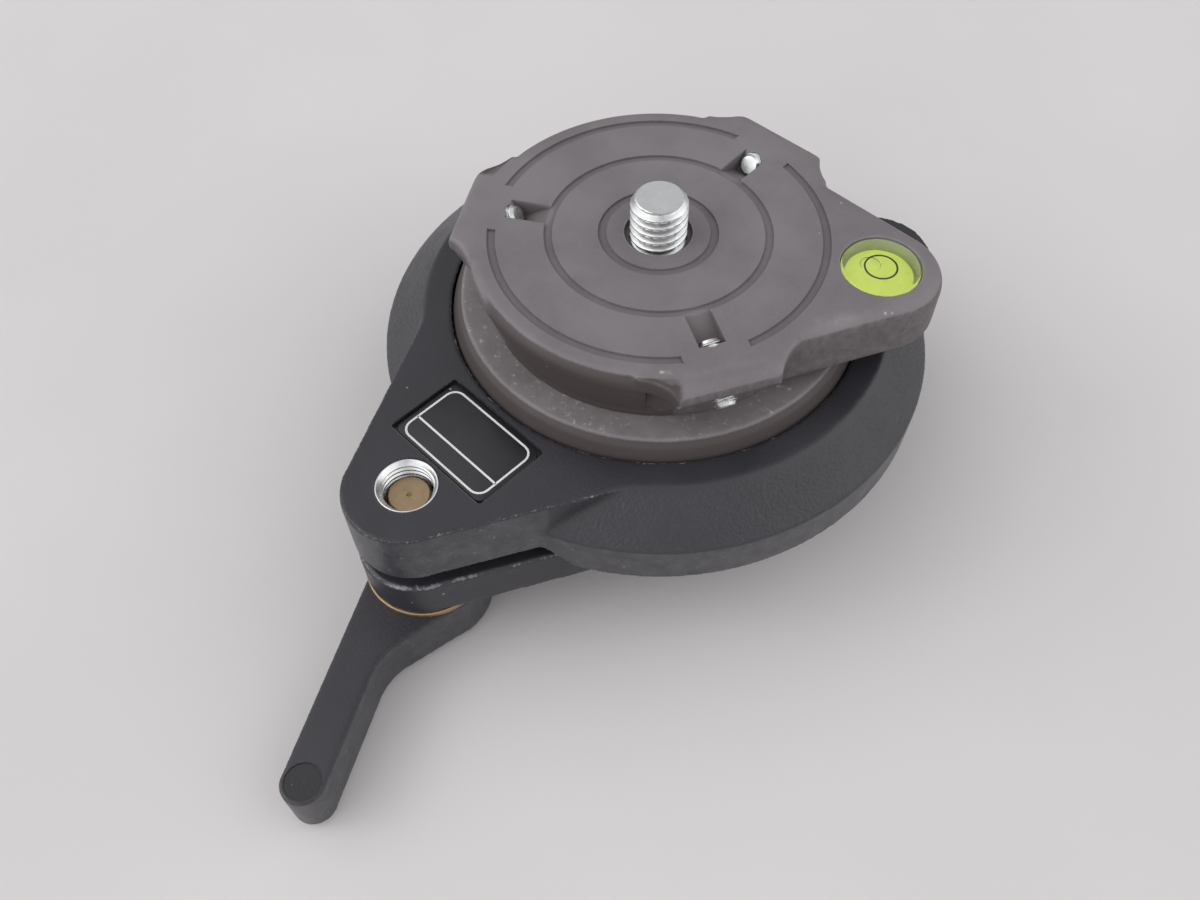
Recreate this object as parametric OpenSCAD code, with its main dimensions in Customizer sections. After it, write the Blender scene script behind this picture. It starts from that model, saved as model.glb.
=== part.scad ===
// Ball leveling head for a tripod. A plate with a threaded stud stands on a ball.
// The ball tilts and pans between a bowl and a clamp ring, and a lever draws the
// ring's ear down to lock it. Millimetres, +Z up, origin on the main axis at the
// mounting face, clamp ear along -Y.

/* [Ball and liners] */
// Radius of the ball
ball_r = 37.5; // [36.5:0.5:40]
// Gap between the ball, the liners and the seats they turn in
run_gap = 0.3; // [0.25:0.05:0.35]
// Height of the ball's centre below the plateau
ball_drop = 12.3; // [11.5:0.1:13]
// Rise of the ball's flat top above the plateau
disc_rise = 3; // [2:0.1:4]
// Bevel on the edge of the ball's flat top
disc_edge = 0.6; // [0.3:0.1:1]
// Depth of the ball's shoulder below its centre
shoulder_drop = 2; // [1:0.1:3]
// Thickness of the roof over the ball's hollow
roof_t = 6; // [5:0.5:7]
// Radius of the ball's hollow
hollow_r = 27.5; // [25:0.5:28.5]
// Tilt to each side about one axis, in degrees
tilt_max = 5; // [3:0.5:5.5]
// Thickness of each friction liner
liner_t = 0.8; // [0.6:0.1:1]
// Height of the liners' band
liner_h = 7.5; // [5:0.5:8]
// Rise of the inner liner and of the ball's lower end over the liner outside them
liner_tuck = 1; // [0.5:0.1:1.5]
// Inset of the bowl's seat from the ball's radius
seat_inset = 0.5; // [0.3:0.1:0.8]

/* [Base bowl] */
// Wall of the bowl outside the ball
bowl_wall = 5.5; // [5:0.1:6.5]
// Inset of the foot from the bowl's outer wall
foot_inset = 10; // [8:0.5:11]
// Height of the foot's straight band
foot_band = 3; // [2:0.5:5]
// Thickness of the bowl's floor
floor_t = 3.5; // [2.5:0.1:4]
// Radius of the boss around the threaded bush
boss_r = 12; // [10:0.5:14]
// Height of the boss above the floor
boss_h = 9.5; // [7:0.5:11]
// Radius of the threaded bush
bush_r = 8; // [6.5:0.5:9]
// Gap above the bowl's ledge when the ball is fully tilted
ledge_gap = 0.9; // [0.5:0.1:1.5]
// Gap between the ball and the bowl's open mouth
mouth_gap = 0.5; // [0.4:0.1:1]

/* [Clamp ring] */
// Width of the plateau outside the ball's radius
collar_wall = 3.1; // [2.5:0.1:4]
// Gap between the bowl and the ring's skirt
skirt_gap = 2.2; // [1.5:0.1:3]
// Thickness of the ring's skirt
skirt_t = 3.3; // [2.5:0.1:4]
// Depth of the skirt below the ring's underside
skirt_lap = 3.9; // [3.8:0.1:5]
// Height of the rim's outer wall
rim_h = 8.25; // [7:0.25:10]
// Inward lean of the rim's wall
rim_draft = 0.3; // [0:0.1:0.6]

/* [Ear and heel] */
// Distance of the clamp bolt outside the rim
ear_out = 8; // [7:0.5:12]
// Radius of the ear's nose
nose_r = 10.5; // [9.5:0.1:12]
// Thickness of the upper jaw
upper_jaw_t = 11.4; // [10:0.1:13]
// Thickness of the lower jaw
lower_jaw_t = 8.4; // [7:0.1:10]
// Height of the slot between the jaws
slot_h = 3.5; // [2.5:0.1:4.5]
// Radius of the hollow blend from the ear into the plateau
blend_r = 25; // [10:1:35]
// Half width of the slot's cut through the skirt, at its top
slot_half = 16.6; // [16:0.1:20]
// Flare of that cut towards the skirt's lower edge, on each side
slot_flare = 6; // [3.8:0.1:7]
// Distance of the heel's end outside the rim
heel_out = 7.7; // [6:0.1:9]
// Radius of the heel's two screw bosses
heel_r = 10.4; // [9:0.1:12]
// Gap between the skirt's cut and the heel
heel_fit = 0.3; // [0.1:0.1:0.5]
// Radius of the heel screws
heel_screw_r = 2.5; // [2:0.5:3]
// Angle of each heel screw from the middle of the heel
heel_screw_turn = 23.5; // [20:0.5:28]
// Grip of the heel screws in the ring
heel_grip = 6; // [4:0.5:7]

/* [Name plate] */
// Width of the blank name plate
label_w = 21; // [16:0.1:22]
// Length of the blank name plate
label_h = 13; // [9:0.1:13.2]
// Thickness of the blank name plate
label_t = 0.4; // [0.3:0.1:0.8]
// Depth of the recess above the name plate
label_sink = 0.5; // [0.1:0.1:0.8]
// Gap around the name plate in its recess
label_fit = 0.3; // [0.1:0.1:0.5]
// Land between the recess and the jaw insert
label_land = 0.5; // [0.4:0.1:2]

/* [Lever and clamp bolt] */
// Height of the lever above the mounting face
lever_clear = 1.5; // [1:0.1:3]
// Thickness of the lever
lever_t = 10.2; // [9:0.1:12]
// Radius of the lever's hub
hub_r = 10.5; // [9:0.1:11]
// Length from the hub's centre to the centre of the round end
arm_reach = 41.2; // [30:0.5:60]
// Radius of the lever's round end, which is half the arm's width
end_r = 3.7; // [3:0.1:4.5]
// Sideways offset of the arm from the hub's centre
arm_offset = 5.5; // [3:0.1:6]
// Direction of the arm, from the ear's own direction, in degrees
arm_turn = 30; // [0:1:45]
// Direction where the web leaves the hub, from the arm's direction, in degrees
web_turn = 50; // [45:1:65]
// Depth of the web's root inside the hub's edge
web_root = 0.1; // [0.1:0.1:1]
// Length from the hub's centre to where the web's edge meets the arm's middle line
web_reach = 22.7; // [18:0.1:26]
// Radius of the hollow blend between the web and the arm
web_blend = 11; // [3:0.5:14]
// Radius of the round mark on the lever's end
mark_r = 3; // [2:0.1:3]
// Depth of the round mark
mark_depth = 0.25; // [0.1:0.05:0.5]
// Radius of the clamp bolt
bolt_r = 4; // [3.5:0.5:5]
// Running gap around the bolt in the jaw insert
bolt_fit = 0.08; // [0.04:0.01:0.1]
// Gap around the bolt in the lower jaw
bolt_clear = 0.5; // [0.3:0.1:0.8]
// Depth of the bolt's end below the plateau
bolt_recess = 2.6; // [1.5:0.1:4]
// Bevel on the bolt's end
bolt_edge = 0.5; // [0.2:0.1:0.8]
// Width across flats of the bolt's hexagon in the lever
hex_w = 12; // [11:0.5:14]
// Height of the bolt's hexagon
hex_h = 6.5; // [5:0.1:6.6]
// Wall of the bright insert in the upper jaw
insert_wall = 0.97; // [0.8:0.01:1.2]
// Bevel at the mouth of the insert
insert_edge = 0.7; // [0.4:0.1:0.7]
// Radius of the brass washer
washer_r = 11; // [9:0.1:12]
// Thickness of the brass washer
washer_t = 1.1; // [0.8:0.1:2]
// Gap between the washer and the lower jaw
washer_gap = 0.2; // [0.1:0.05:0.4]
// Radius of the screw that holds the lever to the bolt
lever_screw_r = 2; // [1.5:0.5:2.5]
// Grip of that screw in the bolt
lever_screw_grip = 7; // [5:0.5:9]

/* [Top plate] */
// Turn of the plate from the ear's own direction, in degrees
plate_turn = 2; // [-180:1:180]
// Radius of the plate's flange
plate_r = 31.7; // [31:0.1:33]
// Thickness of the plate's flange
flange_t = 3; // [2.5:0.1:4]
// Rounding of the flange's top edge
flange_edge = 2; // [1:0.1:2.4]
// Radius of the neck under the plate
neck_r = 29.2; // [28:0.1:30]
// Height of the neck below the lobes
neck_h = 3.7; // [3.5:0.1:6]
// Thickness of the plate at its lobes
lobe_t = 8.4; // [8:0.1:10]
// Distance of the screw lobes' flat edge from the axis
lobe_r = 34.2; // [33:0.1:36]
// Width of each screw lobe
lobe_w = 16.5; // [14:0.5:20]
// Radius of the hollow blends beside each screw lobe
lobe_blend = 10; // [6:0.5:14]
// Lean of the lobes' outer walls, in degrees
lobe_lean = 38; // [25:1:42]
// Rounding of the lobes' top edge
lobe_edge = 2.4; // [1.5:0.1:3]
// Outer radius of the inner groove
inner_groove_r = 10; // [8:0.1:11]
// Outer radius of the middle groove
middle_groove_r = 19; // [18:0.1:20]
// Outer radius of the outer groove
outer_groove_r = 28.4; // [27:0.1:29]
// Width of the grooves
groove_w = 1.4; // [0.8:0.1:2]
// Depth of the grooves
groove_depth = 0.5; // [0.3:0.1:1]
// Half angle of the break in the outer groove at each set screw, in degrees
groove_break = 11; // [8:1:16]

/* [Set screws] */
// Radius of the set screws
set_r = 2; // [1.5:0.5:2.5]
// Length of the set screws
set_len = 10.5; // [10:0.5:12]
// Slope of the set screws, in degrees
set_slope = 30; // [25:1:35]
// Distance of the screws' tips from the axis
set_tip_r = 24; // [22.5:0.1:25]
// Depth of the tips' centres below the plate's face
set_tip_drop = 1.1; // [0.5:0.05:1.5]
// Bevel on the screws' tips
set_edge = 0.5; // [0.3:0.1:0.8]
// Running gap around the screws
set_fit = 0.06; // [0.02:0.01:0.1]
// Width of the pocket in front of each screw
pocket_w = 4.4; // [4.2:0.1:5.5]
// Set-back of the pocket's end wall behind the tip
pocket_back = 1; // [0.5:0.1:2]
// Radius of the hexagon socket's corners
socket_r = 1.15; // [0.9:0.05:1.3]
// Depth of the hexagon socket
socket_depth = 2; // [1.5:0.1:3]

/* [Spirit level] */
// Distance of the vial's centre from the axis
vial_out = 36.5; // [35:0.1:38]
// Radius of the round end of the vial's lobe
vial_lobe_r = 10.1; // [9:0.1:11]
// Radius of the vial
vial_r = 6.45; // [5.5:0.05:7]
// Gap around the vial in its pocket
vial_fit = 0.12; // [0.05:0.01:0.2]
// Depth of the vial's pocket
vial_depth = 6.2; // [5.5:0.1:6.6]
// Depth of the vial's face below the plate's face
vial_sink = 0.15; // [0:0.05:0.5]
// Thickness of the backing disc under the vial
backing_t = 0.4; // [0.2:0.1:0.6]
// Wall of the vial around the liquid
vial_wall = 1; // [0.8:0.1:1.5]
// Thickness of the vial under the liquid
vial_floor = 0.6; // [0.4:0.1:1]
// Height of the liquid at its edge
liquid_h = 1.8; // [1.2:0.1:2.2]
// Radius of the dome that the bubble rides under
dome_r = 24; // [18:1:40]
// Radius of the bubble
bubble_r = 1.7; // [1.2:0.1:2]
// Half height of the bubble
bubble_half = 0.45; // [0.3:0.05:0.5]
// Offset of the bubble from the vial's centre
bubble_off = 1.5; // [0:0.1:2]
// Direction of that offset, in degrees
bubble_turn = 165; // [0:1:360]
// Outer radius of the centring ring
mark_ring_r = 2.75; // [2.3:0.05:3.2]
// Width of the centring ring's line
mark_ring_w = 0.3; // [0.2:0.05:0.5]
// Thickness of the centring ring
mark_ring_t = 0.1; // [0.05:0.05:0.2]
// Depth of the ring under the vial's face
mark_ring_sink = 0.4; // [0.3:0.1:1]

/* [Stud and plate screws] */
// Radius of the threaded stud, 3/8 inch
stud_r = 4.7625; // [3.175:0.0005:4.7625]
// Rise of the stud above the plate
stud_rise = 7.4; // [5:0.1:10]
// Bevel on the stud's end
stud_edge = 0.9; // [0.5:0.1:1.2]
// Gap around the stud in the plate and of a stud in the bush
stud_fit = 0.06; // [0.04:0.01:0.1]
// Depth of the relief groove under the stud's free end
stud_relief = 0.6; // [0.4:0.1:0.8]
// Width of the sunk ring around the stud
stud_sink_w = 0.9; // [0.5:0.1:1.5]
// Depth of the sunk ring
stud_sink = 1; // [0.5:0.1:2]
// Width across flats of the stud's head
stud_head_w = 14; // [13:0.5:17]
// Height of the stud's head
stud_head_h = 5.5; // [4:0.5:7]
// Radius of the washer under the stud's head
stud_washer_r = 9; // [8.5:0.5:10.5]
// Thickness of that washer
stud_washer_t = 1.5; // [1:0.1:2]
// Radius of the screws that hold the plate on the ball
plate_screw_r = 2.5; // [2:0.5:3]
// Distance of those screws from the axis
plate_screw_out = 16; // [15.5:0.5:18]
// Grip of those screws in the plate
plate_screw_grip = 6; // [4:0.5:7]
// Gap around fixed screws in their holes
screw_fit = 0.05; // [0.02:0.01:0.1]
// Height of a cap screw's head for each unit of its radius
head_ratio_h = 2; // [1.6:0.1:2]
// Radius of a cap screw's head for each unit of its radius
head_ratio_r = 1.7; // [1.5:0.1:1.8]

/* [Hidden] */
$fn = 96;

// Overshoot of every cut past the face that it opens
over = 1;
// Depth by which flat sides and blends run into the rounds that they meet
lap = 0.05;
// Steps of a rounded edge
edge_steps = 6;

lever_top = lever_clear + lever_t;
washer_top = lever_top + washer_t;
lower_jaw_z = washer_top + washer_gap;
lower_jaw_top = lower_jaw_z + lower_jaw_t;
upper_jaw_z = lower_jaw_top + slot_h;
plateau_z = upper_jaw_z + upper_jaw_t;
skirt_z = upper_jaw_z - skirt_lap;
rim_top = skirt_z + rim_h;
ball_z = plateau_z - ball_drop;
disc_z = plateau_z + disc_rise;
lobe_z = disc_z + neck_h;
plate_z = lobe_z + lobe_t;
shoulder_z = ball_z - shoulder_drop;
roof_z = disc_z - roof_t;
boss_top = floor_t + boss_h;

collar_r = ball_r + run_gap;
plateau_r = ball_r + collar_wall;
bowl_r = ball_r + bowl_wall;
foot_r = bowl_r - foot_inset;
mouth_r = ball_r + mouth_gap;
skirt_r = bowl_r + skirt_gap;
rim_r = skirt_r + skirt_t;
clamp_y = rim_r + ear_out;
boss_out = rim_r + heel_out - heel_r;
disc_r = sqrt(pow(ball_r, 2) - pow(disc_z - ball_z, 2));

seat_r = ball_r - seat_inset;
outer_liner_r = seat_r - run_gap;
inner_liner_r = outer_liner_r - liner_t - run_gap;
lower_ball_r = inner_liner_r - liner_t - run_gap;
tilt_both = acos(pow(cos(tilt_max), 2));
ledge_z = ball_z - shoulder_drop * cos(tilt_both) - ball_r * sin(tilt_both) - ledge_gap;
liner_z = ledge_z - liner_tuck - liner_h;
ball_low_z = liner_z + liner_tuck;

insert_r = bolt_r + bolt_fit + insert_wall;
label_y = clamp_y - insert_r - label_land - label_fit - label_h / 2;
hex_r = hex_w / 2 / cos(30);
stud_head_r = stud_head_w / 2 / cos(30);

vial_turn = plate_turn + 30;
vial_floor_z = plate_z - vial_depth;
vial_body_z = vial_floor_z + backing_t;
liquid_z = vial_body_z + vial_floor;
liquid_r = vial_r - vial_wall;
dome_top_z = liquid_z + liquid_h + dome_r - sqrt(pow(dome_r, 2) - pow(liquid_r, 2));

black_paint = "#26262a";
taupe_paint = "#6e6866";
dull_brass = "#9a7f4a";
bright_steel = "#c9cbcd";
dark_steel = "#5b5d60";

// Two circles and the flat sides between them
module bar(from, from_r, to, to_r) {
    run = to - from;
    aim = atan2(run.y, run.x);
    lean = acos((from_r - to_r) / norm(run));
    side = [for (s = [-1, 1]) [cos(aim + s * lean), sin(aim + s * lean)]];
    translate(from) circle(from_r);
    translate(to) circle(to_r);
    polygon([
        from + (from_r - lap) * side[0], to + (to_r - lap) * side[0],
        to + (to_r - lap) * side[1], from + (from_r - lap) * side[1]
    ]);
}

// Outline of the clamp ear, from the main axis to its nose
module ear_outline() {
    bar([0, 0], ball_r, [0, -clamp_y], nose_r);
}

// Hollow blend on one side, between the ear's flat side and a circle of radius main_r
module ear_blend(main_r) {
    lean = acos((ball_r - nose_r) / clamp_y) - 90;
    out = [cos(lean), sin(lean)];
    along = [out.y, -out.x];
    reach = sqrt(pow(main_r + blend_r, 2) - pow(ball_r + blend_r, 2));
    centre = (ball_r + blend_r) * out + reach * along;
    difference() {
        polygon([[0, 0], centre * main_r / (main_r + blend_r), ball_r * out + reach * along]);
        translate(centre) circle(blend_r + lap);
    }
}

// Outline of the heel opposite the ear, with one boss for each screw
module heel_outline(grow = 0) {
    side = heel_r + grow - lap;
    for (s = [-1, 1]) rotate(s * heel_screw_turn) {
        translate([-side, 0]) square([2 * side, boss_out]);
        translate([0, boss_out]) circle(heel_r + grow);
    }
}

// Slice of a sphere about the ball's centre
module ball_zone(r, low, high) {
    intersection() {
        translate([0, 0, ball_z]) sphere(r);
        translate([0, 0, low]) cylinder(h = high - low, r = r + over);
    }
}

module disc_at(z, r, h) {
    translate([0, 0, z]) cylinder(h = h, r = r);
}

// Places children on the clamp bolt's axis
module at_clamp() {
    translate([0, -clamp_y, 0]) children();
}

// Places children on each heel screw's axis
module at_heel_screws() {
    for (s = [-1, 1]) rotate(90 + s * heel_screw_turn) translate([bowl_r, 0, 0]) children();
}

// Places children on each plate screw's axis
module at_plate_screws() {
    for (k = [0:2]) rotate(plate_turn + 30 + 120 * k) translate([plate_screw_out, 0, 0]) children();
}

// Places children at set screw k's tip, with +X along the screw towards its outer end
module at_set_screw(k) {
    rotate(plate_turn + 90 + 120 * k)
        translate([set_tip_r, 0, plate_z - set_tip_drop])
            rotate([0, set_slope, 0]) children();
}

// Places children on the vial's axis
module at_vial() {
    rotate(vial_turn) translate([vial_out, 0, 0]) children();
}

// Cap screw with its head below z = 0 and its shank above
module cap_screw(r, length) {
    difference() {
        union() {
            disc_at(-head_ratio_h * r, head_ratio_r * r, head_ratio_h * r);
            cylinder(h = length, r = r);
        }
        translate([0, 0, -head_ratio_h * r - over]) cylinder(h = r + over, r = r, $fn = 6);
    }
}

// Hole for a cap screw, open below its head
module cap_screw_hole(r, length, sink) {
    cylinder(h = length, r = r + screw_fit);
    disc_at(-sink, head_ratio_r * r + screw_fit, sink);
}

heel_head_z = lower_jaw_z + head_ratio_h * heel_screw_r;
heel_screw_len = upper_jaw_z - heel_head_z + heel_grip;
plate_screw_len = roof_t + plate_screw_grip;

module base_bowl() color(black_paint) difference() {
    union() {
        difference() {
            union() {
                rotate_extrude() polygon([
                    [0, 0], [foot_r, 0], [foot_r, foot_band], [bowl_r, lower_jaw_z],
                    [bowl_r, lower_jaw_top], [0, lower_jaw_top]
                ]);
                translate([0, 0, lower_jaw_z]) linear_extrude(lower_jaw_t) ear_outline();
                translate([0, 0, lower_jaw_z]) linear_extrude(upper_jaw_z - lower_jaw_z) heel_outline();
            }
            ball_zone(seat_r, floor_t, ledge_z + over);
            disc_at(ledge_z, mouth_r, upper_jaw_z - ledge_z + over);
        }
        cylinder(h = boss_top, r = boss_r);
    }
    disc_at(-over, bush_r, boss_top + 2 * over);
    at_clamp() disc_at(lower_jaw_z - over, bolt_r + bolt_clear, lower_jaw_t + 2 * over);
    at_heel_screws() translate([0, 0, heel_head_z])
        cap_screw_hole(heel_screw_r, heel_screw_len, heel_head_z - lower_jaw_z + over);
}

module mount_bush() color(bright_steel) difference() {
    cylinder(h = boss_top, r = bush_r);
    disc_at(-over, stud_r + stud_fit, boss_top + 2 * over);
}

// Cut that lets the slot run out through the skirt
module slot_cut() {
    translate([0, -skirt_r / 2, 0]) rotate([90, 0, 0]) linear_extrude(clamp_y) polygon([
        [-slot_half, upper_jaw_z], [slot_half, upper_jaw_z],
        [slot_half + slot_flare, skirt_z], [slot_half + slot_flare, skirt_z - over],
        [-slot_half - slot_flare, skirt_z - over], [-slot_half - slot_flare, skirt_z]
    ]);
}

module clamp_ring() color(black_paint) difference() {
    union() {
        rotate_extrude() polygon([
            [0, upper_jaw_z], [skirt_r, upper_jaw_z], [skirt_r, skirt_z], [rim_r - rim_draft, skirt_z],
            [rim_r, rim_top], [plateau_r, plateau_z], [0, plateau_z]
        ]);
        translate([0, 0, upper_jaw_z]) linear_extrude(upper_jaw_t) {
            ear_outline();
            ear_blend(plateau_r);
            mirror([1, 0]) ear_blend(plateau_r);
        }
        translate([0, 0, upper_jaw_z]) linear_extrude(rim_top - upper_jaw_z) heel_outline();
    }
    translate([0, 0, ball_z]) sphere(collar_r);
    slot_cut();
    translate([0, 0, skirt_z - over]) linear_extrude(skirt_lap + over) heel_outline(heel_fit);
    at_clamp() disc_at(upper_jaw_z - over, insert_r, upper_jaw_t + 2 * over);
    translate([0, -label_y, plateau_z - label_t - label_sink])
        linear_extrude(label_t + label_sink + over)
            square([label_w + 2 * label_fit, label_h + 2 * label_fit], center = true);
    at_heel_screws() disc_at(upper_jaw_z - over, heel_screw_r + screw_fit, heel_grip + over + screw_fit);
}

module heel_screws() color(dark_steel) at_heel_screws() translate([0, 0, heel_head_z])
    cap_screw(heel_screw_r, heel_screw_len);

module jaw_insert() color(bright_steel) at_clamp() difference() {
    disc_at(upper_jaw_z, insert_r, upper_jaw_t);
    disc_at(upper_jaw_z - over, bolt_r + bolt_fit, upper_jaw_t + 2 * over);
    translate([0, 0, plateau_z - insert_edge])
        cylinder(h = 2 * insert_edge, r1 = bolt_r + bolt_fit, r2 = bolt_r + bolt_fit + 2 * insert_edge);
}

module name_plate() color("#1b1b1e") translate([0, -label_y, plateau_z - label_t - label_sink])
    linear_extrude(label_t) square([label_w, label_h], center = true);

// Hollow blend in the corner between the web's edge and the arm's side
module web_corner() {
    root = (hub_r - web_root) * [cos(web_turn), sin(web_turn)];
    fall = [web_reach, -arm_offset] - root;
    bend = atan2(-fall.y, fall.x);
    side_y = end_r - arm_offset;
    corner = root + fall * (side_y - root.y) / fall.y;
    foot = web_blend * tan(bend / 2);
    difference() {
        polygon([
            corner - foot * fall / norm(fall), corner - [end_r, end_r], corner + [foot, 0]
        ]);
        translate(corner + [foot, web_blend]) circle(web_blend + lap);
    }
}

// Solid lever, with its hub at the origin and its arm along +X
module lever_blank() {
    cylinder(h = lever_t, r = hub_r);
    linear_extrude(lever_t) polygon([
        [0, -arm_offset], [0, 0],
        (hub_r - web_root) * [cos(web_turn), sin(web_turn)], [web_reach, -arm_offset]
    ]);
    linear_extrude(lever_t) bar([0, -arm_offset], end_r, [arm_reach, -arm_offset], end_r);
    linear_extrude(lever_t) web_corner();
}

lever_head_z = lever_clear + head_ratio_h * lever_screw_r / 2;
lever_web = lever_t - hex_h - head_ratio_h * lever_screw_r / 2;

module clamp_lever() color(black_paint) at_clamp() difference() {
    translate([0, 0, lever_clear]) rotate(arm_turn - 90) lever_blank();
    translate([0, 0, lever_top - hex_h]) cylinder(h = hex_h + over, r = hex_r + screw_fit, $fn = 6);
    disc_at(lever_clear - over, lever_screw_r + screw_fit, lever_t);
    disc_at(lever_clear - over, head_ratio_r * lever_screw_r + screw_fit, lever_head_z - lever_clear + over);
    rotate(arm_turn - 90) translate([arm_reach, -arm_offset, lever_top - mark_depth])
        cylinder(h = mark_depth + over, r = mark_r);
}

module clamp_bolt() color(dull_brass) at_clamp() difference() {
    union() {
        translate([0, 0, lever_top - hex_h]) cylinder(h = hex_h, r = hex_r, $fn = 6);
        disc_at(lever_top - hex_h, bolt_r, plateau_z - bolt_recess - bolt_edge - lever_top + hex_h);
        translate([0, 0, plateau_z - bolt_recess - bolt_edge])
            cylinder(h = bolt_edge, r1 = bolt_r, r2 = bolt_r - bolt_edge);
    }
    disc_at(lever_top - hex_h - over, lever_screw_r + screw_fit, lever_screw_grip + over);
}

module clamp_washer() color(dull_brass) at_clamp() difference() {
    disc_at(lever_top, washer_r, washer_t);
    disc_at(lever_top - over, bolt_r + bolt_clear, washer_t + 2 * over);
}

module lever_screw() color(dark_steel) at_clamp() difference() {
    union() {
        disc_at(lever_clear, head_ratio_r * lever_screw_r, lever_head_z - lever_clear);
        disc_at(lever_clear, lever_screw_r,
            lever_head_z - lever_clear + lever_web + lever_screw_grip - screw_fit);
    }
    translate([0, 0, lever_clear - over])
        cylinder(h = (lever_head_z - lever_clear) / 2 + over, r = lever_screw_r, $fn = 6);
}

// Ring of lining with its outer face at radius r about the ball's centre
module liner(r, low) {
    difference() {
        ball_zone(r, low, low + liner_h);
        translate([0, 0, ball_z]) sphere(r - liner_t);
    }
}

module outer_liner() color("#8c6a3f") liner(outer_liner_r, liner_z);

module inner_liner() color("#d8d2c4") liner(inner_liner_r, liner_z + liner_tuck);

module leveling_ball() color(taupe_paint) difference() {
    union() {
        ball_zone(ball_r, shoulder_z, disc_z);
        ball_zone(lower_ball_r, ball_low_z, shoulder_z);
    }
    disc_at(ball_low_z - over, hollow_r, roof_z - ball_low_z + over);
    disc_at(roof_z - over, stud_r + stud_fit, roof_t + 2 * over);
    at_plate_screws() disc_at(roof_z - over, plate_screw_r + screw_fit, roof_t + 2 * over);
    rotate_extrude() polygon([
        [disc_r - disc_edge - over, disc_z + over], [disc_r + over, disc_z + over],
        [disc_r + over, disc_z - disc_edge - over]
    ]);
}

// Profile of a top edge rounded to radius r, from the face to the wall at x = 0
function round_edge(r) = [for (k = [0:edge_steps])
    r * [sin(90 * k / edge_steps) - 1, cos(90 * k / edge_steps) - 1]];

// Section of a cut that rounds a top edge to radius r, with the edge at the origin
function edge_cut(r) = let (arc = round_edge(r), run_out = (arc[0] - arc[1]) / 4) concat(
    [arc[0] + run_out], arc,
    [arc[edge_steps] + [run_out.y, run_out.x]],
    [[over, -r + run_out.x], [over, over], [-r + run_out.x, over]]
);

// Lobe around the spirit level, with its flat sides against the neck
module vial_lobe() {
    lean = acos((neck_r - vial_lobe_r) / vial_out);
    root = sqrt(max(0, pow(plate_r - flange_edge, 2) - pow(neck_r, 2))) * 3 / 4;
    difference() {
        difference() {
            linear_extrude(lobe_t) bar([0, 0], neck_r, [vial_out, 0], vial_lobe_r);
            for (m = [0, 1]) mirror([0, m, 0]) rotate(lean) translate([neck_r - lap, -root, lobe_t])
                rotate([90, 0, 0]) linear_extrude(vial_out * sin(lean) + 2 * over - root)
                    polygon(edge_cut(lobe_edge));
        }
        translate([vial_out, 0, lobe_t]) rotate(-lean) rotate_extrude(angle = 2 * lean)
            translate([vial_lobe_r, 0]) polygon(edge_cut(lobe_edge));
    }
}

// Outline of one screw lobe, blended into a circle of radius main_r
module lobe_outline(main_r) {
    corner = [lobe_r, lobe_w / 2];
    reach = main_r + lobe_blend;
    turn = atan2(corner.y, corner.x) + acos(
        (pow(reach, 2) + pow(norm(corner), 2) - pow(lobe_blend, 2)) / (2 * reach * norm(corner))
    );
    difference() {
        polygon([
            [0, 0], main_r * [cos(turn), sin(turn)], corner,
            [corner.x, -corner.y], main_r * [cos(turn), -sin(turn)]
        ]);
        for (s = [-1, 1]) translate(reach * [cos(turn), s * sin(turn)]) circle(lobe_blend + lap);
    }
}

// One lobe with an outer wall that leans in below
module screw_lobe() {
    wall_top = lobe_t - lobe_edge;
    intersection() {
        union() {
            linear_extrude(lobe_t - flange_t + over) lobe_outline(neck_r);
            translate([0, 0, lobe_t - flange_t]) linear_extrude(flange_t) lobe_outline(plate_r);
        }
        rotate([90, 0, 0]) linear_extrude(2 * lobe_r, center = true) polygon(concat(
            [[-over, 0], [lobe_r - wall_top * tan(lobe_lean), 0]],
            [for (k = [edge_steps:-1:0]) round_edge(lobe_edge)[k] + [lobe_r, lobe_t]],
            [[-over, lobe_t]]
        ));
    }
}

// Ring groove cut into the plate's face
module groove(r, sweep = 360) {
    translate([0, 0, plate_z - groove_depth]) rotate_extrude(angle = sweep)
        translate([r - groove_w, 0]) square([groove_w, groove_depth + over]);
}

// Bore and pocket of set screw k
module set_screw_cut(k) {
    at_set_screw(k) {
        rotate([0, 90, 0]) disc_at(-set_len, set_r + set_fit, 3 * set_len);
        translate([-set_len, -pocket_w / 2, -set_r - set_fit])
            cube([set_len + pocket_back, pocket_w, 4 * set_r]);
    }
}

module top_plate() color(taupe_paint) difference() {
    union() {
        disc_at(disc_z, neck_r, plate_z - flange_t - disc_z + over);
        translate([0, 0, plate_z - flange_t]) rotate_extrude() polygon(concat(
            [[0, 0], [plate_r, 0]],
            [for (k = [edge_steps:-1:0]) round_edge(flange_edge)[k] + [plate_r, flange_t]],
            [[0, flange_t]]
        ));
        for (k = [0:2]) rotate(plate_turn + 90 + 120 * k) translate([0, 0, lobe_z]) screw_lobe();
        rotate(vial_turn) translate([0, 0, lobe_z]) vial_lobe();
    }
    groove(inner_groove_r);
    groove(middle_groove_r);
    for (k = [0:2]) rotate(plate_turn + 90 + groove_break + 120 * k)
        groove(outer_groove_r, 120 - 2 * groove_break);
    for (k = [0:2]) set_screw_cut(k);
    at_vial() disc_at(vial_floor_z, vial_r + vial_fit, vial_depth + over);
    disc_at(disc_z - over, stud_r + stud_fit, plate_z - disc_z + 2 * over);
    disc_at(plate_z - stud_sink, stud_r + stud_sink_w, stud_sink + over);
    at_plate_screws() disc_at(disc_z - over, plate_screw_r + screw_fit, plate_screw_grip + over + screw_fit);
}

module plate_screws() color(dark_steel) at_plate_screws() translate([0, 0, roof_z])
    cap_screw(plate_screw_r, plate_screw_len);

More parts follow.
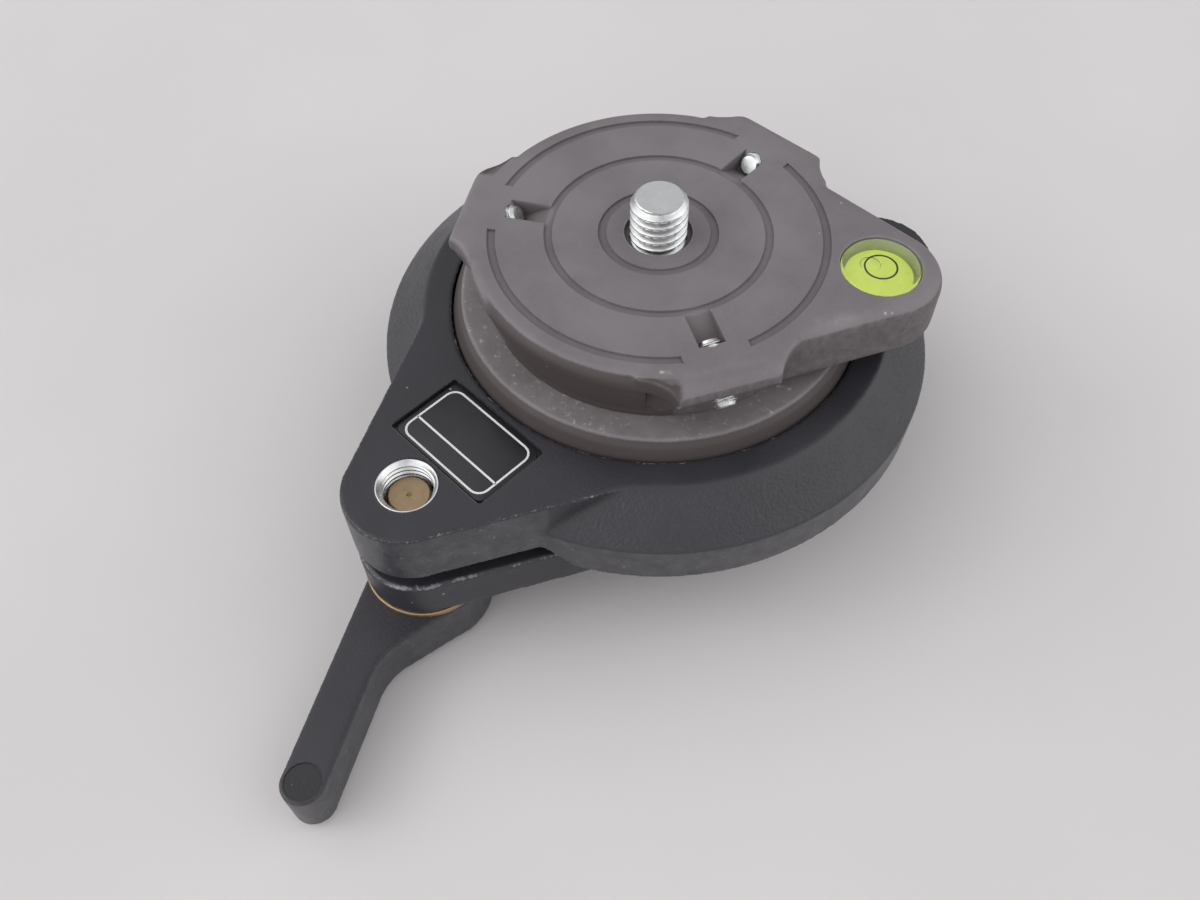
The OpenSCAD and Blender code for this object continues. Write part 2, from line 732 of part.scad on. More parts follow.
module top_stud() color(bright_steel) {
    head_z = roof_z - stud_washer_t - stud_head_h;
    translate([0, 0, head_z]) cylinder(h = stud_head_h, r = stud_head_r, $fn = 6);
    disc_at(head_z, stud_r, plate_z - stud_sink - head_z);
    disc_at(plate_z - stud_sink, stud_r - stud_relief, stud_sink);
    disc_at(plate_z, stud_r, stud_rise - stud_edge);
    translate([0, 0, plate_z + stud_rise - stud_edge])
        cylinder(h = stud_edge, r1 = stud_r, r2 = stud_r - stud_edge);
}

module stud_washer() color(dark_steel) difference() {
    disc_at(roof_z - stud_washer_t, stud_washer_r, stud_washer_t);
    disc_at(roof_z - stud_washer_t - over, stud_r + stud_fit, stud_washer_t + 2 * over);
}

module vial_backing() color("#eef0d8") at_vial() disc_at(vial_floor_z, vial_r, backing_t);

// Space inside the vial, with a domed roof
module vial_space() {
    at_vial() intersection() {
        disc_at(liquid_z, liquid_r, dome_r);
        translate([0, 0, dome_top_z - dome_r]) sphere(dome_r);
    }
}

// Bubble pressed flat under the dome
module bubble_shape() {
    lens_r = (pow(bubble_r, 2) + pow(bubble_half, 2)) / (2 * bubble_half);
    at_vial() rotate(bubble_turn) translate([bubble_off, 0, dome_top_z - 2 * bubble_half]) intersection() {
        translate([0, 0, lens_r - bubble_half]) sphere(lens_r);
        translate([0, 0, bubble_half - lens_r]) sphere(lens_r);
    }
}

// Thin ring line just above the dome
module ring_shape() {
    at_vial() translate([0, 0, plate_z - vial_sink - mark_ring_sink]) difference() {
        cylinder(h = mark_ring_t, r = mark_ring_r);
        disc_at(-over, mark_ring_r - mark_ring_w, mark_ring_t + 2 * over);
    }
}

module vial_body() color("#dfe8c8", 0.4) difference() {
    at_vial() disc_at(vial_body_z, vial_r, plate_z - vial_sink - vial_body_z);
    vial_space();
    ring_shape();
}

module vial_liquid() color("#c8dc50", 0.7) difference() {
    vial_space();
    bubble_shape();
}

module vial_bubble() color("#f4f8e0", 0.5) bubble_shape();

module vial_ring() color("#1a1a10") ring_shape();

module set_screw(k) color(bright_steel) at_set_screw(k) rotate([0, 90, 0]) difference() {
    union() {
        cylinder(h = set_edge, r1 = set_r - set_edge, r2 = set_r);
        disc_at(set_edge, set_r, set_len - set_edge);
    }
    translate([0, 0, set_len - socket_depth]) cylinder(h = socket_depth + over, r = socket_r, $fn = 6);
}

base_bowl();
mount_bush();
clamp_ring();
heel_screws();
jaw_insert();
name_plate();
clamp_lever();
clamp_bolt();
clamp_washer();
lever_screw();
outer_liner();
inner_liner();
leveling_ball();
top_plate();
plate_screws();
top_stud();
stud_washer();
vial_backing();
vial_body();
vial_liquid();
vial_bubble();
vial_ring();
set_screw(0);  // set_screw_1
set_screw(1);  // set_screw_2
set_screw(2);  // set_screw_3
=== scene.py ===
"""Looks of the ball leveling head: painted castings, threaded steel, brass and a spirit level."""

import logging
import math
from collections.abc import Callable, Iterator, Sequence
from contextlib import contextmanager
from dataclasses import dataclass, field
from enum import Enum

import bmesh
import bpy
import numpy as np
from mathutils import Matrix, Vector


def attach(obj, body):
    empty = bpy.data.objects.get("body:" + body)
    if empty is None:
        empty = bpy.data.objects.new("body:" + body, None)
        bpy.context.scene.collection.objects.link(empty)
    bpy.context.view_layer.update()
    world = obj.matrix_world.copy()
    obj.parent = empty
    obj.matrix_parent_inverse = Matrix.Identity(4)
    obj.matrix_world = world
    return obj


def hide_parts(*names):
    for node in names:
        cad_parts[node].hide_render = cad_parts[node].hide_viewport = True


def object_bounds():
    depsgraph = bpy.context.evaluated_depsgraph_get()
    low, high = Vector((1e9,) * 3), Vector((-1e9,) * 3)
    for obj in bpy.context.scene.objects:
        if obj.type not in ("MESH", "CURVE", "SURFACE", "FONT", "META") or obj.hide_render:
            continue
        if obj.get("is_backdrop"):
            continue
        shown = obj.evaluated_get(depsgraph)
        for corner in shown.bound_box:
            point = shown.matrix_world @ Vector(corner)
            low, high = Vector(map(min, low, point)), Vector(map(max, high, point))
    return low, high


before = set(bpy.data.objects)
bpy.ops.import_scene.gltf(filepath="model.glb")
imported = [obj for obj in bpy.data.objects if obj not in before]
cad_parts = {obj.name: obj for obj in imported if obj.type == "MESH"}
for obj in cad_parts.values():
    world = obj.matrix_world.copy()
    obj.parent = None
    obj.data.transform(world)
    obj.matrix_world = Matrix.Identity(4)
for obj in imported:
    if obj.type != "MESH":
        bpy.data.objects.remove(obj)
CAD_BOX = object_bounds()
LOG = logging.getLogger("leveling_head")

MM = 0.001
WELD = 0.0005 * MM
TINY = 1e-6
FLAT = 0.9
SHARP = "MANIFOLD"
LIFT = "edge_lift"
COARSE = "coarse"
SCUFF_AND_LIGHT = "scuff_and_light"
SOIL_AND_SHADE = "soil_and_shade"
Point = tuple[float, float]
Triple = tuple[float, float, float]
Colour = Triple


class Body(Enum):
    """Moving bodies that a piece can ride on."""

    BASE = "base"
    LEVER = "lever"
    BALL = "ball"
    SCREW_1 = "set_screw_1"
    SCREW_2 = "set_screw_2"
    SCREW_3 = "set_screw_3"


class Slot(Enum):
    """Material slots of the record."""

    COAT = "black_coat"
    TAUPE = "taupe_paint"
    STEEL = "bright_steel"
    OXIDE = "dark_steel"
    BRASS = "dull_brass"
    LABEL = "label_black"
    FIBRE = "liner_fibre"
    NYLON = "liner_nylon"
    BACKING = "backing_white"
    ACRYLIC = "clear_acrylic"
    LIQUID = "level_liquid"
    BUBBLE = "bubble_air"
    INK = "ring_ink"


class Cut(Enum):
    """What a second solid does to the first."""

    REMOVE = "DIFFERENCE"
    JOIN = "UNION"


class Side(Enum):
    """Side of a wall that a thread is cut from."""

    OUTSIDE = -1
    INSIDE = 1


# Workshop: small helpers around Blender's operators


def deselect() -> None:
    """Clears the selection."""
    bpy.ops.object.select_all(action="DESELECT")


def activate(obj: bpy.types.Object) -> None:
    """Makes obj the only selected and the active object."""
    deselect()
    obj.select_set(True)
    bpy.context.view_layer.objects.active = obj


@contextmanager
def editing(obj: bpy.types.Object, select: bool = True) -> Iterator[None]:
    """Opens obj in edit mode.

    Args:
        obj: The object to edit.
        select: Whether all of it starts selected.
    """
    activate(obj)
    bpy.ops.object.mode_set(mode="EDIT")
    bpy.ops.mesh.select_mode(type="VERT")
    bpy.ops.mesh.select_all(action="SELECT" if select else "DESELECT")
    yield
    bpy.ops.object.mode_set(mode="OBJECT")


def pick(obj: bpy.types.Object, test: Callable[[Vector], bool]) -> None:
    """Selects faces in edit mode.

    Args:
        obj: The object that is open in edit mode.
        test: Called with a face's normal, true where the face is wanted.
    """
    bpy.ops.mesh.select_mode(type="FACE")
    bpy.ops.mesh.select_all(action="DESELECT")
    shape = bmesh.from_edit_mesh(obj.data)
    for face in shape.faces:
        face.select = test(face.normal)
    shape.select_flush_mode()
    bmesh.update_edit_mesh(obj.data)


def faces_up(normal: Vector) -> bool:
    """Returns whether a face looks up."""
    return normal.z > FLAT


def lies_flat(normal: Vector) -> bool:
    """Returns whether a face looks up or down."""
    return abs(normal.z) > FLAT

def apply_modifier(obj: bpy.types.Object, kind: str, **settings: object) -> None:
    """Adds a modifier with its settings and applies it.

    Args:
        obj: The object to change.
        kind: Blender's name of the modifier's type.
        **settings: Values of the modifier's properties.
    """
    activate(obj)
    modifier = obj.modifiers.new(kind.lower(), kind)
    for name, value in settings.items():
        setattr(modifier, name, value)
    bpy.ops.object.modifier_apply(modifier=modifier.name)


def tidy_mesh(obj: bpy.types.Object) -> None:
    """Merges doubles and turns all faces outwards."""
    with editing(obj):
        bpy.ops.mesh.remove_doubles(threshold=WELD)
        bpy.ops.mesh.normals_make_consistent(inside=False)


def shade(obj: bpy.types.Object, degrees: float = 40.0) -> None:
    """Shades obj smooth up to an angle between faces."""
    activate(obj)
    bpy.ops.object.shade_smooth_by_angle(angle=math.radians(degrees))


def trace(name: str, points: Sequence[Vector]) -> bpy.types.Object:
    """Draws a line of edges by extruding one point.

    Args:
        name: Name of the new object.
        points: Corners of the line.

    Returns:
        The object with the line.
    """
    deselect()
    bpy.ops.mesh.primitive_plane_add(size=MM)
    obj = bpy.context.active_object
    obj.name = obj.data.name = name
    with editing(obj):
        bpy.ops.mesh.merge(type="CENTER")
        bpy.ops.transform.translate(value=points[0])
        for start, end in zip(points, points[1:]):
            bpy.ops.mesh.extrude_vertices_move(TRANSFORM_OT_translate={"value": end - start})
    return obj


def lathe(name: str, profile: Sequence[Point], steps: int = 96) -> bpy.types.Object:
    """Turns a profile round the Z axis.

    Args:
        name: Name of the new object.
        profile: Radius and height of each corner, in millimetres. It ends on the axis, or closes on itself.
        steps: Steps of the full turn.

    Returns:
        The turned solid.
    """
    obj = trace(name, [Vector((r, 0, z)) * MM for r, z in profile])
    with editing(obj):
        bpy.ops.mesh.spin(steps=steps, angle=math.tau, center=(0, 0, 0), axis=(0, 0, 1), use_auto_merge=False)
    tidy_mesh(obj)
    shade(obj)
    return obj


def prism(name: str, radius: float, low: float, high: float, sides: int = 6,
          edge: float = 0.0) -> bpy.types.Object:
    """Makes an upright prism with bevelled ends.

    Args:
        name: Name of the new object.
        radius: Radius of its corners, in millimetres.
        low: Height of its lower end, in millimetres.
        high: Height of its upper end, in millimetres.
        sides: Number of sides.
        edge: Bevel of its end edges, in millimetres, or 0 for none.

    Returns:
        The prism, on the Z axis.
    """
    deselect()
    bpy.ops.mesh.primitive_cylinder_add(
        vertices=sides, radius=radius * MM, depth=(high - low) * MM, location=(0, 0, (low + high) / 2 * MM))
    obj = bpy.context.active_object
    obj.name = obj.data.name = name
    bpy.ops.object.transform_apply(location=True, rotation=True, scale=True)
    if edge:
        with editing(obj):
            pick(obj, lies_flat)
            bpy.ops.mesh.bevel(offset=edge * MM, segments=2, affect="EDGES")
    return obj


def drum(name: str, radius: float, low: float, high: float, steps: int) -> bpy.types.Object:
    """Turns a plain round solid on the Z axis, in millimetres."""
    return lathe(name, [(0, low), (radius, low), (radius, high), (0, high)], steps)


def tube(name: str, inner: float, outer: float, low: float, high: float, steps: int) -> bpy.types.Object:
    """Turns a plain tube on the Z axis, in millimetres."""
    return lathe(name, [(inner, low), (outer, low), (outer, high), (inner, high), (inner, low)], steps)


def extrusion(name: str, corners: Sequence[Vector], along: Vector) -> bpy.types.Object:
    """Extrudes a flat outline.

    Args:
        name: Name of the new object.
        corners: Corners of the outline in order, in millimetres.
        along: Way of the extrusion, in millimetres.

    Returns:
        The solid.
    """
    obj = trace(name, [corner * MM for corner in corners])
    with editing(obj):
        bpy.ops.mesh.edge_face_add()
        bpy.ops.mesh.select_all(action="SELECT")
        bpy.ops.mesh.extrude_region_move(TRANSFORM_OT_translate={"value": along * MM})
    tidy_mesh(obj)
    return obj


def bar(name: str, near: float, far: float, half: float, low: float, high: float) -> bpy.types.Object:
    """Makes an upright block that lies along the X axis.

    Args:
        name: Name of the new object.
        near: Place of its first end on X, in millimetres.
        far: Place of its second end on X, in millimetres.
        half: Half its width, in millimetres.
        low: Height of its underside, in millimetres.
        high: Height of its face, in millimetres.

    Returns:
        The block.
    """
    corners = [(near, -half), (far, -half), (far, half), (near, half)]
    return extrusion(name, [Vector((x, y, low)) for x, y in corners], Vector((0, 0, high - low)))


def crosswise(name: str, outline: Sequence[Point], half: float) -> bpy.types.Object:
    """Extrudes an upright outline to both sides of the X axis.

    Args:
        name: Name of the new object.
        outline: Place on X and height of each corner, in millimetres.
        half: Half the width of the solid, in millimetres.

    Returns:
        The solid.
    """
    return extrusion(name, [Vector((x, -half, z)) for x, z in outline], Vector((0, 2 * half, 0)))


def combine(obj: bpy.types.Object, tool: bpy.types.Object, cut: Cut, solver: str = "EXACT") -> None:
    """Cuts a tool out of obj, or joins it on, and deletes the tool.

    Args:
        obj: The solid to change.
        tool: The second solid.
        cut: What the tool does.
        solver: Blender's name of the boolean solver.
    """
    apply_modifier(obj, "BOOLEAN", operation=cut.value, object=tool, solver=solver)
    bpy.data.objects.remove(tool, do_unlink=True)


def join(obj: bpy.types.Object, others: Sequence[bpy.types.Object]) -> None:
    """Makes other objects part of obj."""
    activate(obj)
    for other in others:
        other.select_set(True)
    bpy.ops.object.join()


def place_new(name: str, data: bpy.types.ID) -> bpy.types.Object:
    """Returns a new object of the scene, with a mesh, lamp or camera in it."""
    obj = bpy.data.objects.new(name, data)
    bpy.context.scene.collection.objects.link(obj)
    return obj


def turned(degrees: float) -> Matrix:
    """Returns a turn about the Z axis."""
    return Matrix.Rotation(math.radians(degrees), 4, "Z")


def swing(obj: bpy.types.Object, degrees: float) -> bpy.types.Object:
    """Turns a mesh about the Z axis and returns its object."""
    obj.data.transform(turned(degrees))
    return obj


def slide(obj: bpy.types.Object, way: float) -> bpy.types.Object:
    """Moves a mesh along Y, in millimetres, and returns its object."""
    obj.data.transform(Matrix.Translation((0, way * MM, 0)))
    return obj


def coordinates(mesh: bpy.types.Mesh) -> np.ndarray:
    """Returns the places of all points of a mesh, in metres."""
    flat = np.empty(len(mesh.vertices) * 3, np.float32)
    mesh.vertices.foreach_get("co", flat)
    return flat.reshape(-1, 3).astype(float)


def put_coordinates(mesh: bpy.types.Mesh, places: np.ndarray) -> None:
    """Moves all points of a mesh to new places, in metres."""
    mesh.vertices.foreach_set("co", places.astype(np.float32).ravel())
    mesh.update()


def store(mesh: bpy.types.Mesh, name: str, values: np.ndarray) -> None:
    """Keeps one number for each point of a mesh under a name."""
    layer = mesh.attributes.get(name) or mesh.attributes.new(name, "FLOAT", "POINT")
    layer.data.foreach_set("value", values.astype(np.float32))


def normals_of(mesh: bpy.types.Mesh) -> np.ndarray:
    """Returns the normals of all points of a mesh."""
    flat = np.empty(len(mesh.vertices) * 3, np.float32)
    mesh.vertex_normals.foreach_get("vector", flat)
    return flat.reshape(-1, 3).astype(float)


def reach_of(places: np.ndarray) -> np.ndarray:
    """Returns the distance of each place from the Z axis."""
    return np.hypot(places[:, 0], places[:, 1])


def ease(values: np.ndarray, low: float, high: float) -> np.ndarray:
    """Returns values eased from 0 at low to 1 at high."""
    part = np.clip((values - low) / (high - low), 0, 1)
    return part * part * (3 - 2 * part)


def steps_between(low: float, high: float, size: float) -> list[float]:
    """Returns even heights from low to high, about size apart."""
    count = max(1, math.ceil((high - low) / size))
    return [low + (high - low) * k / count for k in range(count + 1)]


def round_over(radius: float, height: float, edge: float, steps: int) -> list[Point]:
    """Returns the corners of a rounded outer edge below the face at height, from the wall to the face."""
    return [(radius - edge + edge * math.cos(math.pi / 2 * k / steps),
             height - edge + edge * math.sin(math.pi / 2 * k / steps)) for k in range(steps + 1)]


@dataclass(frozen=True)
class Thread:
    """Screw thread of sixty degrees, in millimetres. Half its crest and its flank are shares of the pitch."""

    radius: float
    pitch: float
    depth: float
    low: float
    high: float
    side: Side = Side.OUTSIDE
    crest: float = 0.07
    flank: float = 0.3
    slack: float = 0.6
    skin: float = 1e-4

    def heights(self, parts: int = 18) -> list[float]:
        """Returns the heights that a blank needs for a clean thread."""
        return steps_between(self.low, self.high, self.pitch / parts)

    def chase(self, obj: bpy.types.Object) -> None:
        """Cuts the thread into the wall of a turned blank on the Z axis.

        Args:
            obj: The blank, with a point at each of the thread's heights.
        """
        places = coordinates(obj.data) / MM
        reach = reach_of(places)
        turn = np.arctan2(places[:, 1], places[:, 0]) / math.tau
        from_crest = np.abs(((places[:, 2] / self.pitch - turn) % 1.0) - 0.5)
        fall = self.depth * np.clip((from_crest - self.crest) / self.flank, 0, 1)
        inside = (places[:, 2] >= self.low - self.skin) & (places[:, 2] <= self.high + self.skin)
        near = inside & (np.abs(reach - self.radius) < self.depth + self.slack)
        if self.side is Side.OUTSIDE:
            target = np.minimum(reach, self.radius - fall)
        else:
            target = np.maximum(reach, self.radius + self.depth - fall)
        grow = np.where(near, target / np.maximum(reach, TINY), 1.0)
        places[:, :2] *= grow[:, None]
        put_coordinates(obj.data, places * MM)
        shade(obj, 50)


# Finishes: node groups for effects and one small class for each kind of material


class Nodes:
    """Places shader nodes in one tree and links them."""

    def __init__(self, tree: bpy.types.NodeTree) -> None:
        """Starts with a tree and keeps it."""
        self.tree = tree

    def add(self, kind: str, values: dict[str, object] | None = None, **settings: object) -> bpy.types.Node:
        """Places a node.

        Args:
            kind: The node's type.
            values: A number, a colour or a socket to link, for each input by name.
            **settings: Values of the node's properties.

        Returns:
            The new node.
        """
        node = self.tree.nodes.new(kind)
        for name, value in settings.items():
            setattr(node, name, value)
        for name, value in (values or {}).items():
            self.put(node.inputs[name], value)
        return node

    def put(self, socket: bpy.types.NodeSocket, value: object) -> None:
        """Links a socket to another, or sets its own value."""
        if isinstance(value, bpy.types.NodeSocket):
            self.tree.links.new(value, socket)
        elif isinstance(value, tuple) and len(value) == 3 and socket.type == "RGBA":
            socket.default_value = (*value, 1.0)
        else:
            socket.default_value = value

    def calc(self, operation: str, first: object, second: object = 0.0,
             third: object = 0.0) -> bpy.types.NodeSocket:
        """Returns the result of a Math node."""
        node = self.tree.nodes.new("ShaderNodeMath")
        node.operation = operation
        for socket, value in zip(node.inputs, (first, second, third)):
            self.put(socket, value)
        return node.outputs[0]

    def around(self, value: object, spread: float) -> bpy.types.NodeSocket:
        """Returns a value from 0 to 1 moved to lie about nought, and spread."""
        return self.calc("MULTIPLY_ADD", value, spread, third=-spread / 2)

    def ramp(self, value: object, low: object, high: object, to_low: object = 0.0,
             to_high: object = 1.0) -> bpy.types.NodeSocket:
        """Returns a value eased from one range to another and held at its ends."""
        node = self.add("ShaderNodeMapRange", {
            "Value": value, "From Min": low, "From Max": high, "To Min": to_low, "To Max": to_high},
            interpolation_type="SMOOTHSTEP")
        return node.outputs["Result"]

    def blend(self, factor: object, first: object, second: object) -> bpy.types.NodeSocket:
        """Returns a colour between two colours."""
        node = self.tree.nodes.new("ShaderNodeMix")
        node.data_type = "RGBA"
        self.put(node.inputs[0], factor)
        self.put(node.inputs[6], first)
        self.put(node.inputs[7], second)
        return node.outputs[2]

    def noise(self, place: object, scale: object, detail: float = 2.0, rough: float = 0.5,
              twist: float = 0.0) -> bpy.types.NodeSocket:
        """Returns the value of a noise texture."""
        node = self.add("ShaderNodeTexNoise", {
            "Vector": place, "Scale": scale, "Detail": detail, "Roughness": rough, "Distortion": twist})
        return node.outputs["Fac"]

    def stretch(self, place: object, scale: Triple) -> bpy.types.NodeSocket:
        """Returns a place scaled along each axis."""
        return self.add("ShaderNodeMapping", {"Vector": place, "Scale": scale}).outputs["Vector"]


def new_group(name: str, inputs: dict[str, float | None], outputs: Sequence[str]) -> tuple[Nodes, dict, dict]:
    """Starts a shader node group.

    Args:
        name: Name of the group.
        inputs: Start value of each number input, or None for a vector input.
        outputs: Names of the number outputs.

    Returns:
        The group's nodes, its inputs' sockets by name, and its outputs' sockets by name.
    """
    tree = bpy.data.node_groups.new(name, "ShaderNodeTree")
    for label, value in inputs.items():
        kind = "NodeSocketVector" if value is None else "NodeSocketFloat"
        socket = tree.interface.new_socket(label, in_out="INPUT", socket_type=kind)
        if value is not None:
            socket.default_value = value
    for label in outputs:
        tree.interface.new_socket(label, in_out="OUTPUT", socket_type="NodeSocketFloat")
    inner = Nodes(tree)
    start = inner.add("NodeGroupInput")
    end = inner.add("NodeGroupOutput")
    into = {label: start.outputs[label] for label in inputs}
    out = {label: end.inputs[label] for label in outputs}
    return inner, into, out


class Effects:
    """Shared effects, each built once as a node group."""

    def __init__(self) -> None:
        """Builds the groups."""
        self.grain = self._grain()
        self.wear_and_highlight = self._wear_and_highlight()
        self.specks = self._specks()
        self.smudge = self._smudge()

    @staticmethod
    def _grain() -> bpy.types.NodeTree:
        """Builds the pebbled grain of a sprayed coat."""
        fine_share = 0.35
        cell_share = 0.55
        pit_ramp = (0.32, 0.6)
        n, into, out = new_group(
            "coat_grain", {"Place": None, "Fine": 1500.0, "Rough": 700.0, "Rough Share": 0.0},
            ["Height", "Pits"])
        fine = n.noise(into["Place"], into["Fine"], detail=3.0, rough=0.55)
        rough = n.noise(into["Place"], into["Rough"], detail=2.0, rough=0.5, twist=0.6)
        cells = n.add("ShaderNodeTexVoronoi", {
            "Vector": into["Place"], "Scale": into["Rough"], "Smoothness": 0.6}, feature="SMOOTH_F1")
        leather = n.calc("SUBTRACT", rough, n.calc("MULTIPLY", cells.outputs["Distance"], cell_share))
        share = n.calc("MULTIPLY", leather, into["Rough Share"])
        n.put(out["Height"], n.calc("ADD", n.calc("MULTIPLY", fine, fine_share), share))
        n.put(out["Pits"], n.ramp(fine, *pit_ramp))
        return n.tree

    @staticmethod
    def _wear_and_highlight() -> bpy.types.NodeTree:
        """Builds the mask of standing edges, pale as rubbed-off paint and as a painted highlight, and a mask
        of creases that come out darker.
        """
        finer = 5.0
        wide_share = 0.65
        close_share = 0.35
        sunk_share = 0.5
        crease_dark_ramp = (0.02, 0.22)
        n, into, out = new_group("edge_wear_and_highlight", {
            "Place": None, "Lift": 0.0, "Start": 0.12, "Spread": 0.1, "Broken": 0.2, "Size": 350.0},
            ["Mask", "Crease Dark"])
        wide = n.noise(into["Place"], into["Size"], detail=4.0, rough=0.6)
        close = n.noise(into["Place"], n.calc("MULTIPLY", into["Size"], finer), detail=2.0, rough=0.6)
        mixed = n.calc("ADD", n.calc("MULTIPLY", wide, wide_share), n.calc("MULTIPLY", close, close_share))
        shift = n.calc("MULTIPLY", n.calc("SUBTRACT", mixed, 0.5), into["Broken"])
        lifted = n.calc("ADD", into["Lift"], shift)
        n.put(out["Mask"], n.ramp(lifted, into["Start"], n.calc("ADD", into["Start"], into["Spread"])))
        # Crease Dark: darker where the skin sinks below its surroundings
        sunk = n.calc("SUBTRACT", n.calc("MULTIPLY", shift, sunk_share), into["Lift"])
        n.put(out["Crease Dark"], n.ramp(sunk, *crease_dark_ramp))
        return n.tree

    @staticmethod
    def _specks() -> bpy.types.NodeTree:
        """Builds the mask of small chips and dust."""
        size_spread = 0.14
        ragged_spread = 0.26
        finer = 6.0
        edge_ramp = (0.07, 0.13)
        n, into, out = new_group("specks", {"Place": None, "Size": 500.0, "Cover": 0.1}, ["Mask"])
        cell = n.add("ShaderNodeTexVoronoi", {
            "Vector": into["Place"], "Scale": into["Size"], "Randomness": 1.0})
        chance = n.add("ShaderNodeSeparateColor", {"Color": cell.outputs["Color"]})
        size = n.calc("MULTIPLY", chance.outputs["Green"], size_spread)
        rough_edge = n.noise(into["Place"], n.calc("MULTIPLY", into["Size"], finer), detail=2.0)
        ragged = n.calc("MULTIPLY", rough_edge, ragged_spread)
        edge = n.calc("SUBTRACT", n.calc("ADD", size, ragged), cell.outputs["Distance"])
        chosen = n.calc("GREATER_THAN", chance.outputs["Red"], n.calc("SUBTRACT", 1.0, into["Cover"]))
        n.put(out["Mask"], n.calc("MULTIPLY", n.ramp(edge, *edge_ramp), chosen))
        return n.tree

    @staticmethod
    def _smudge() -> bpy.types.NodeTree:
        """Builds the slow changes of tone and gloss over a handled surface."""
        finer = 3.0
        n, into, out = new_group("smudge", {"Place": None, "Size": 60.0}, ["Tone", "Gloss"])
        n.put(out["Tone"], n.noise(into["Place"], into["Size"], detail=5.0, rough=0.6, twist=0.3))
        gloss_size = n.calc("MULTIPLY", into["Size"], finer)
        n.put(out["Gloss"], n.noise(into["Place"], gloss_size, detail=4.0, rough=0.65))
        return n.tree


@dataclass(frozen=True)
class Finish:
    """What every finish has: its slot, colour and gloss, and how far tone and gloss wander."""

    slot: Slot
    colour: Colour
    roughness: float
    tone_ramp: Point = (0.3, 0.7)
    gloss_ramp: Point = (0.3, 0.75)
    gloss_spread: Point = (-0.07, 0.12)
    smudge_size: float = 60.0

    def start(self) -> tuple[bpy.types.Material, Nodes, bpy.types.Node, bpy.types.NodeSocket]:
        """Starts a material named as its slot.

        Returns:
            The material, its nodes, its Principled BSDF and the object's own coordinates.
        """
        material = bpy.data.materials.new(self.slot.value)
        material.use_nodes = True
        n = Nodes(material.node_tree)
        shader = material.node_tree.nodes["Principled BSDF"]
        n.put(shader.inputs["Base Color"], self.colour)
        n.put(shader.inputs["Roughness"], self.roughness)
        return material, n, shader, n.add("ShaderNodeTexCoord").outputs["Object"]

    @staticmethod
    def effect(n: Nodes, tree: bpy.types.NodeTree, values: dict[str, object]) -> bpy.types.Node:
        """Places a shared effect in a material, with its values."""
        node = n.add("ShaderNodeGroup", node_tree=tree)
        for label, value in values.items():
            n.put(node.inputs[label], value)
        return node

    def smudged(self, n: Nodes, effects: Effects,
                place: bpy.types.NodeSocket) -> tuple[bpy.types.NodeSocket, bpy.types.NodeSocket]:
        """Places the smudges of a handled surface.

        Args:
            n: The material's nodes.
            effects: The shared effects.
            place: The object's own coordinates.

        Returns:
            Sockets of the smudge of tone, from 0 to 1, and of the roughness.
        """
        smudge = self.effect(n, effects.smudge, {"Place": place, "Size": self.smudge_size})
        glossiest, dullest = (self.roughness + part for part in self.gloss_spread)
        gloss = n.ramp(smudge.outputs["Gloss"], *self.gloss_ramp, glossiest, dullest)
        return n.ramp(smudge.outputs["Tone"], *self.tone_ramp), gloss

    @staticmethod
    def emboss(n: Nodes, shader: bpy.types.Node, height: object, strength: float, depth: float) -> None:
        """Gives a material its relief.

        Args:
            n: The material's nodes.
            shader: The material's Principled BSDF.
            height: Socket of the height.
            strength: Share of the relief that shows.
            depth: Depth of the full relief, in millimetres.
        """
        bump = n.add("ShaderNodeBump", {"Strength": strength, "Distance": depth * MM, "Height": height})
        n.put(shader.inputs["Normal"], bump.outputs["Normal"])


